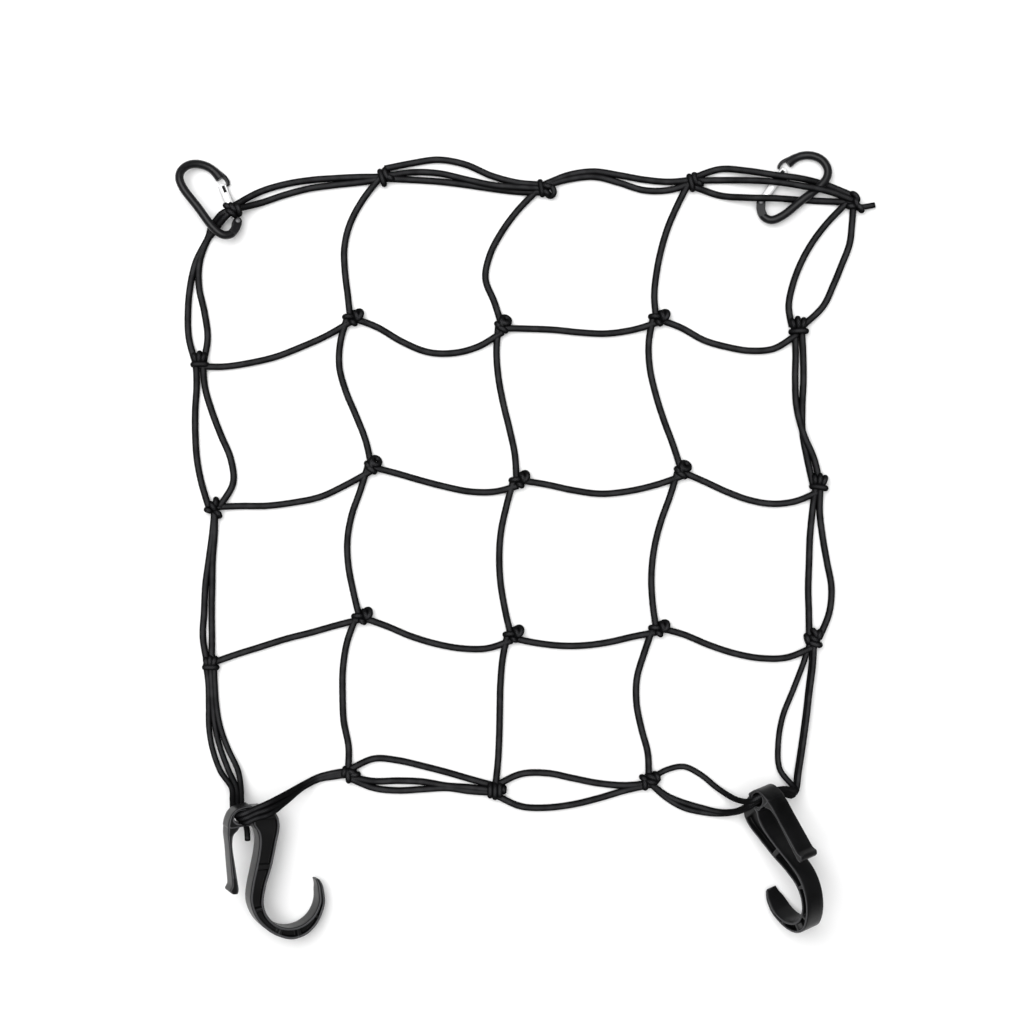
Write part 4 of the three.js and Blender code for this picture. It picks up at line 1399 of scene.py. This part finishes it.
@dataclass(frozen=True)
class SnapLink:
    """A snap link: a bent rod with a nose and slotted cheeks, a gate tube with its latch bar, and a rivet."""

    side: str
    place: Place
    stock: float = 2.8  # radius of the rod
    rod_spacing: float = 0.7
    rod_sides: int = 32
    rod_edge: float = 0.5  # radius of its ends' edges
    nose: float = 3.35  # radius of the thickened nose
    nose_length: float = 9.0
    pivot: tuple = (52.6, 18.7)
    rod: tuple = (  # centre line from the nose round to the cheeks: along, across
        (22.3, 28.3), (16.5, 27.9), (10.5, 25.7), (5.3, 20.7), (3.1, 14.8), (4.1, 8.6), (7.5, 4.8),
        (14, 2.8), (30, 2.8), (47.4, 2.8), (54.6, 5.2), (57.0, 10.0), (55.9, 14.7))
    cheek: tuple = (  # along, across and half width, up to the round end
        (57.0, 10.4, 2.6), (56.3, 13.4, 2.75), (54.9, 15.9, 2.85), (53.4, 17.7, 3.0), (52.3, 19.0, 2.85),
        (51.4, 20.1, 2.1), (50.9, 20.7, 1.0))
    cheek_faces: tuple = (1.45, 2.82)  # how far both faces of a cheek lie from the middle
    cheek_fillet: float = 0.45
    claw: tuple = (  # inner and outer points
        ((17.0, 27.4), (17.0, 30.3)), ((20.4, 28.9), (20.2, 31.5)), ((23.6, 30.1), (23.8, 32.2)),
        ((26.4, 29.9), (27.0, 31.8)), ((28.4, 28.9), (29.5, 30.4)))
    claw_half: float = 1.9  # half its thickness
    claw_fillet: float = 0.6
    bar_spacing: float = 0.4  # of the rings of cheeks and claw
    gate_radius: float = 2.8
    gate_end: tuple = (26.0, 26.2)
    gate_root: float = 3.9  # where the tube starts, from the pivot
    gate_spacing: float = 0.22
    gate_sides: int = 96
    gate_edge: float = 0.45  # radius of the tube's ends' edges
    slot_from: float = 1.5  # from the gate's free end
    slot_length: float = 5.2
    slot_half: float = 1.4  # half its width
    slot_floor: float = 1.0  # height of its floor from the tube's middle
    slot_walls: tuple = (0.35, 0.25)  # how far its end walls and its side walls run while they fall
    latch: float = 1.6  # radius of the bar in the slot
    latch_past: float = 0.5  # how far it goes on past the slot's ends
    latch_points: int = 12
    latch_sides: int = 20
    latch_edge: float = 0.3
    tongue: tuple = (-1.0, -0.93, -0.7, -0.35, 0.0, 0.6, 1.4, 2.2, 3.0)  # rows, in half widths from the pivot
    tongue_half_width: float = 1.9
    tongue_half_depth: float = 1.1
    tongue_blunt: float = 0.02  # the least that one less the row's square may be
    tongue_fillet: float = 0.3
    tongue_spacing: float = 0.35
    head: tuple = (  # a rivet's head from its rim to its top: share of the height, share of the radius
        (0.0, 0.9), (0.1, 1.0), (0.45, 0.98), (0.75, 0.82), (0.93, 0.55), (1.0, 0.15))
    head_radius: float = 1.75
    head_start: float = 2.7
    head_height: float = 3.85
    shank_share: float = 0.55  # of the head's radius
    shank_gap: float = 0.01  # between the shank's end rings and the heads
    rivet_sides: int = 40

    def frame_shell(self) -> Shell:
        """Build the bent rod, its two cheeks and its claw.

        The rod's radius grows by a soft step towards the nose.

        Returns:
            The frame.
        """
        path = smooth_curve(np.pad(np.asarray(self.rod, float), ((0, 0), (0, 1))), self.rod_spacing)
        thicker = (self.nose - self.stock) * step(1 - run_of(path) / self.nose_length)
        shells = [blunt_sweep(path, self.stock + thicker, self.rod_sides, self.rod_edge)]
        table = np.asarray(self.cheek, float)
        ahead = unit(np.gradient(table[:, :2], axis=0))
        aside = np.stack([-ahead[:, 1], ahead[:, 0]], 1) * table[:, 2:]
        near, far = self.cheek_faces
        for low, high in ((near, far), (-far, -near)):
            shells.append(Bar(table[:, :2] + aside, table[:, :2] - aside, low, high, fillet=self.cheek_fillet,
                              spacing=self.bar_spacing).shell())
        claw = np.asarray(self.claw, float)
        shells.append(Bar(claw[:, 0], claw[:, 1], -self.claw_half, self.claw_half, fillet=self.claw_fillet,
                          spacing=self.bar_spacing).shell())
        return Shell.joined(shells)

    def gate_line(self) -> tuple:
        """Find the gate's middle line.

        Returns:
            The pivot, the direction to the gate's free end, and how far off that end is.
        """
        pivot = np.array([*self.pivot, 0.0])
        way = np.array([*self.gate_end, 0.0]) - pivot
        length = float(np.linalg.norm(way))
        return pivot, way / length, length

    def gate_shell(self) -> Shell:
        """Build the gate.

        Inside the slot the tube's skin drops straight down to a low floor. How far is a soft step
        from the slot's ends along the tube times soft steps from its sides across the tube.

        Returns:
            The slotted tube and its tongue.
        """
        pivot, way, length = self.gate_line()
        x = np.arange(self.gate_root, length, self.gate_spacing)
        edge = self.gate_edge
        ends = np.minimum(x - x[0], x[-1] - x)
        radius = self.gate_radius - edge + np.sqrt(np.maximum(edge**2 - np.maximum(edge - ends, 0) ** 2, 0))
        cos, sin = round_ring(self.gate_sides).T
        end_wall, side_wall = self.slot_walls
        slot_end = length - self.slot_from
        inside = step((x - (slot_end - self.slot_length)) / end_wall) * step((slot_end - x) / end_wall)
        between = step((self.slot_half - np.abs(self.gate_radius * cos)) / side_wall)
        groove = inside[:, None] * between[None, :]
        height = radius[:, None] * sin * (1 - groove) + self.slot_floor * groove * np.sign(sin)
        over = np.array([-way[1], way[0], 0.0])
        grid = (pivot + x[:, None, None] * way + (radius[:, None] * cos)[:, :, None] * over
                + height[:, :, None] * Z_AXIS)
        return Shell.joined([grid_shell(grid, x - x[0]), self.gate_tongue()])

    def gate_tongue(self) -> Shell:
        """Build the flat tongue between the cheeks, round about the pivot.

        Behind the pivot half its width is the root of one less the square of the row, in half
        widths.

        Returns:
            The tongue.
        """
        pivot, way, _ = self.gate_line()
        rows = np.array(self.tongue)
        half = np.sqrt(np.clip(1 - np.minimum(rows, 0) ** 2, self.tongue_blunt, 1)) * self.tongue_half_width
        middle = pivot[:2] + rows[:, None] * self.tongue_half_width * way[:2]
        aside = half[:, None] * np.array([-way[1], way[0]])
        return Bar(middle + aside, middle - aside, -self.tongue_half_depth, self.tongue_half_depth,
                   fillet=self.tongue_fillet, spacing=self.tongue_spacing).shell()

    def latch_shell(self) -> Shell:
        """Build the dark latch bar that shows inside the gate's slot.

        It lies on the gate's middle line and goes on a little way past both of the slot's ends.

        Returns:
            The bar.
        """
        pivot, way, length = self.gate_line()
        slot_end = length - self.slot_from
        x = np.linspace(slot_end - self.slot_length - self.latch_past, slot_end + self.latch_past,
                        self.latch_points)
        return blunt_sweep(pivot + x[:, None] * way, np.full(len(x), self.latch), self.latch_sides,
                           self.latch_edge)

    def rivet_shell(self) -> Shell:
        """Build the rivet: a shank and a domed head on each side.

        It is a body of revolution: at each height of the table's rows, mirrored below, a ring
        whose radius is the head's times the row's share.

        Returns:
            The rivet.
        """
        rise, share = np.array(self.head).T
        dome = self.head_start + rise * (self.head_height - self.head_start)
        radius = self.head_radius * share
        shank = [self.shank_share * self.head_radius] * 2
        root = self.head_start - self.shank_gap
        heights = np.concatenate([-dome[::-1], [-root, root], dome])
        radii = np.concatenate([radius[::-1], shank, radius])
        ring = round_ring(self.rivet_sides)
        grid = np.concatenate([
            np.asarray(self.pivot) + radii[:, None, None] * ring[None],
            np.broadcast_to(heights[:, None, None], (len(heights), len(ring), 1))], 2)
        return grid_shell(grid, heights - heights[0])

    def build(self) -> None:
        """Make the link's pieces: frame, gate, latch and rivet."""
        turn, at = self.place.turn(), self.place.at
        gate = f"gate_{self.side}"
        make_piece(f"link_{self.side}_frame", self.frame_shell().placed(turn, at), BLACKENED, "net",
                   [f"carabiner_{self.side}"])
        make_piece(f"link_{self.side}_gate", self.gate_shell().placed(turn, at), BRIGHT, gate, [gate])
        make_piece(f"link_{self.side}_latch", self.latch_shell().placed(turn, at), NYLON, gate)
        make_piece(f"link_{self.side}_rivet", self.rivet_shell().placed(turn, at), RIVET, "net",
                   [f"rivet_{self.side}"])


def leaning(across: Sequence[float], lean: float) -> tuple:
    """Lay a level direction over.

    Args:
        across: the level direction.
        lean: by how many degrees its far end lies lower.

    Returns:
        The direction: its level part times the cosine, and down by the sine.
    """
    drop = math.radians(lean)
    return (across[0] * math.cos(drop), across[1] * math.cos(drop), -math.sin(drop))


HOOKS = (
    MouldedHook("hook_left", Place((-158.1, -259.1, 7.57), (0.923, 0.008, -0.385), (0.009, 0.999, 0.043))),
    MouldedHook("hook_right", Place(
        (181.2, -250.8, 35.76), (-0.289, -0.552, -0.782), (-0.476, 0.792, -0.383))),
)
LINKS = (
    SnapLink("left", Place((-236.6, 245.9, 14.51), (0.606, -0.796, 0), leaning((0.796, 0.606), 24))),
    SnapLink("right", Place((209.4, 245.8, 7.19), (-0.78, -0.62, 0), leaning((-0.62, 0.78), 9))),
)


# ---------------------------------------------------------------- studio


@dataclass(frozen=True)
class Lamp:
    """A square light that looks at the middle of the floor."""

    name: str
    at: tuple  # metres
    size: float  # its side, in metres
    power: float  # watts

    def hang(self) -> None:
        """Put the light into the scene, turned by the two angles of the direction that it hangs in."""
        data = bpy.data.lights.new(self.name, "AREA")
        data.size = self.size
        data.energy = self.power
        light = bpy.data.objects.new(self.name, data)
        light.location = self.at
        back = unit(np.asarray(self.at, float))
        light.rotation_euler = (math.acos(back[2]), 0.0, math.atan2(back[1], back[0]) + math.pi / 2)
        bpy.context.scene.collection.objects.link(light)


@dataclass(frozen=True)
class Studio:
    """A pale floor, soft light from above and the upper left, and a camera straight above."""

    height: float = 1.5  # camera above the floor
    aim: tuple = (-0.00956, 0.020545)  # the floor's point under the camera
    view: float = 0.68267  # width of floor that the picture shows
    sensor: float = 36.0  # millimetres
    floor: float = 32.0  # its side
    paper: float = 0.93  # its brightness
    sky: tuple = ((0.0, 0.08), (0.35, 0.16), (0.75, 0.5), (1.0, 1.0))  # brightness by the sine of the height
    sky_strength: float = 0.8
    lamps: tuple = (
        Lamp("studio_key", (-0.55, 0.6, 2.0), 1.7, 40.0),
        Lamp("studio_top", (0.25, -0.2, 2.2), 1.6, 16.0),
    )

    def build(self) -> None:
        """Set up floor, light, camera and picture."""
        scene = bpy.context.scene
        scene.view_settings.view_transform = "Standard"
        scene.view_settings.look = "None"
        scene.world = self.air()
        self.lay_floor()
        for lamp in self.lamps:
            lamp.hang()
        camera = bpy.data.objects.new("studio_camera", bpy.data.cameras.new("studio_camera"))
        camera.data.sensor_width = self.sensor
        camera.data.lens = self.sensor * self.height / self.view
        camera.location = (*self.aim, self.height)
        scene.collection.objects.link(camera)
        scene.camera = camera

    def air(self) -> bpy.types.World:
        """Make the studio's surroundings: dim at the level of the floor and bright overhead.

        Returns:
            The world.
        """
        world = bpy.data.worlds.new("studio_air")
        world.use_nodes = True
        tree = world.node_tree
        place = tree.nodes.new("ShaderNodeTexCoord")
        split = tree.nodes.new("ShaderNodeSeparateXYZ")
        ramp = tree.nodes.new("ShaderNodeValToRGB")
        tree.links.new(place.outputs["Generated"], split.inputs["Vector"])
        tree.links.new(split.outputs["Z"], ramp.inputs["Fac"])
        fill_ramp(ramp, [(rise, (grey, grey, grey)) for rise, grey in self.sky])
        background = tree.nodes["Background"]
        background.inputs["Strength"].default_value = self.sky_strength
        tree.links.new(ramp.outputs["Color"], background.inputs["Color"])
        return world

    def lay_floor(self) -> None:
        """Lay a white floor under the net."""
        half = self.floor / 2
        corners = [(-half, -half, 0), (half, -half, 0), (half, half, 0), (-half, half, 0)]
        mesh = bpy.data.meshes.new("studio_floor")
        mesh.from_pydata(corners, [], [(0, 1, 2, 3)])
        graph = Graph("studio_paper")
        graph.shader.inputs["Base Color"].default_value = (self.paper, self.paper, self.paper, 1.0)
        graph.shader.inputs["Roughness"].default_value = 1.0
        graph.shader.inputs["Specular IOR Level"].default_value = 0.0
        mesh.materials.append(graph.material)
        floor = bpy.data.objects.new("studio_floor", mesh)
        bpy.context.scene.collection.objects.link(floor)


def main() -> None:
    """Build the object and its studio."""
    logging.basicConfig(level=logging.INFO, format="%(name)s: %(message)s")
    CargoNet().build()
    for hook in HOOKS:
        hook.build()
    for link in LINKS:
        link.build()
    Studio().build()


if __name__ == "__main__":
    main()
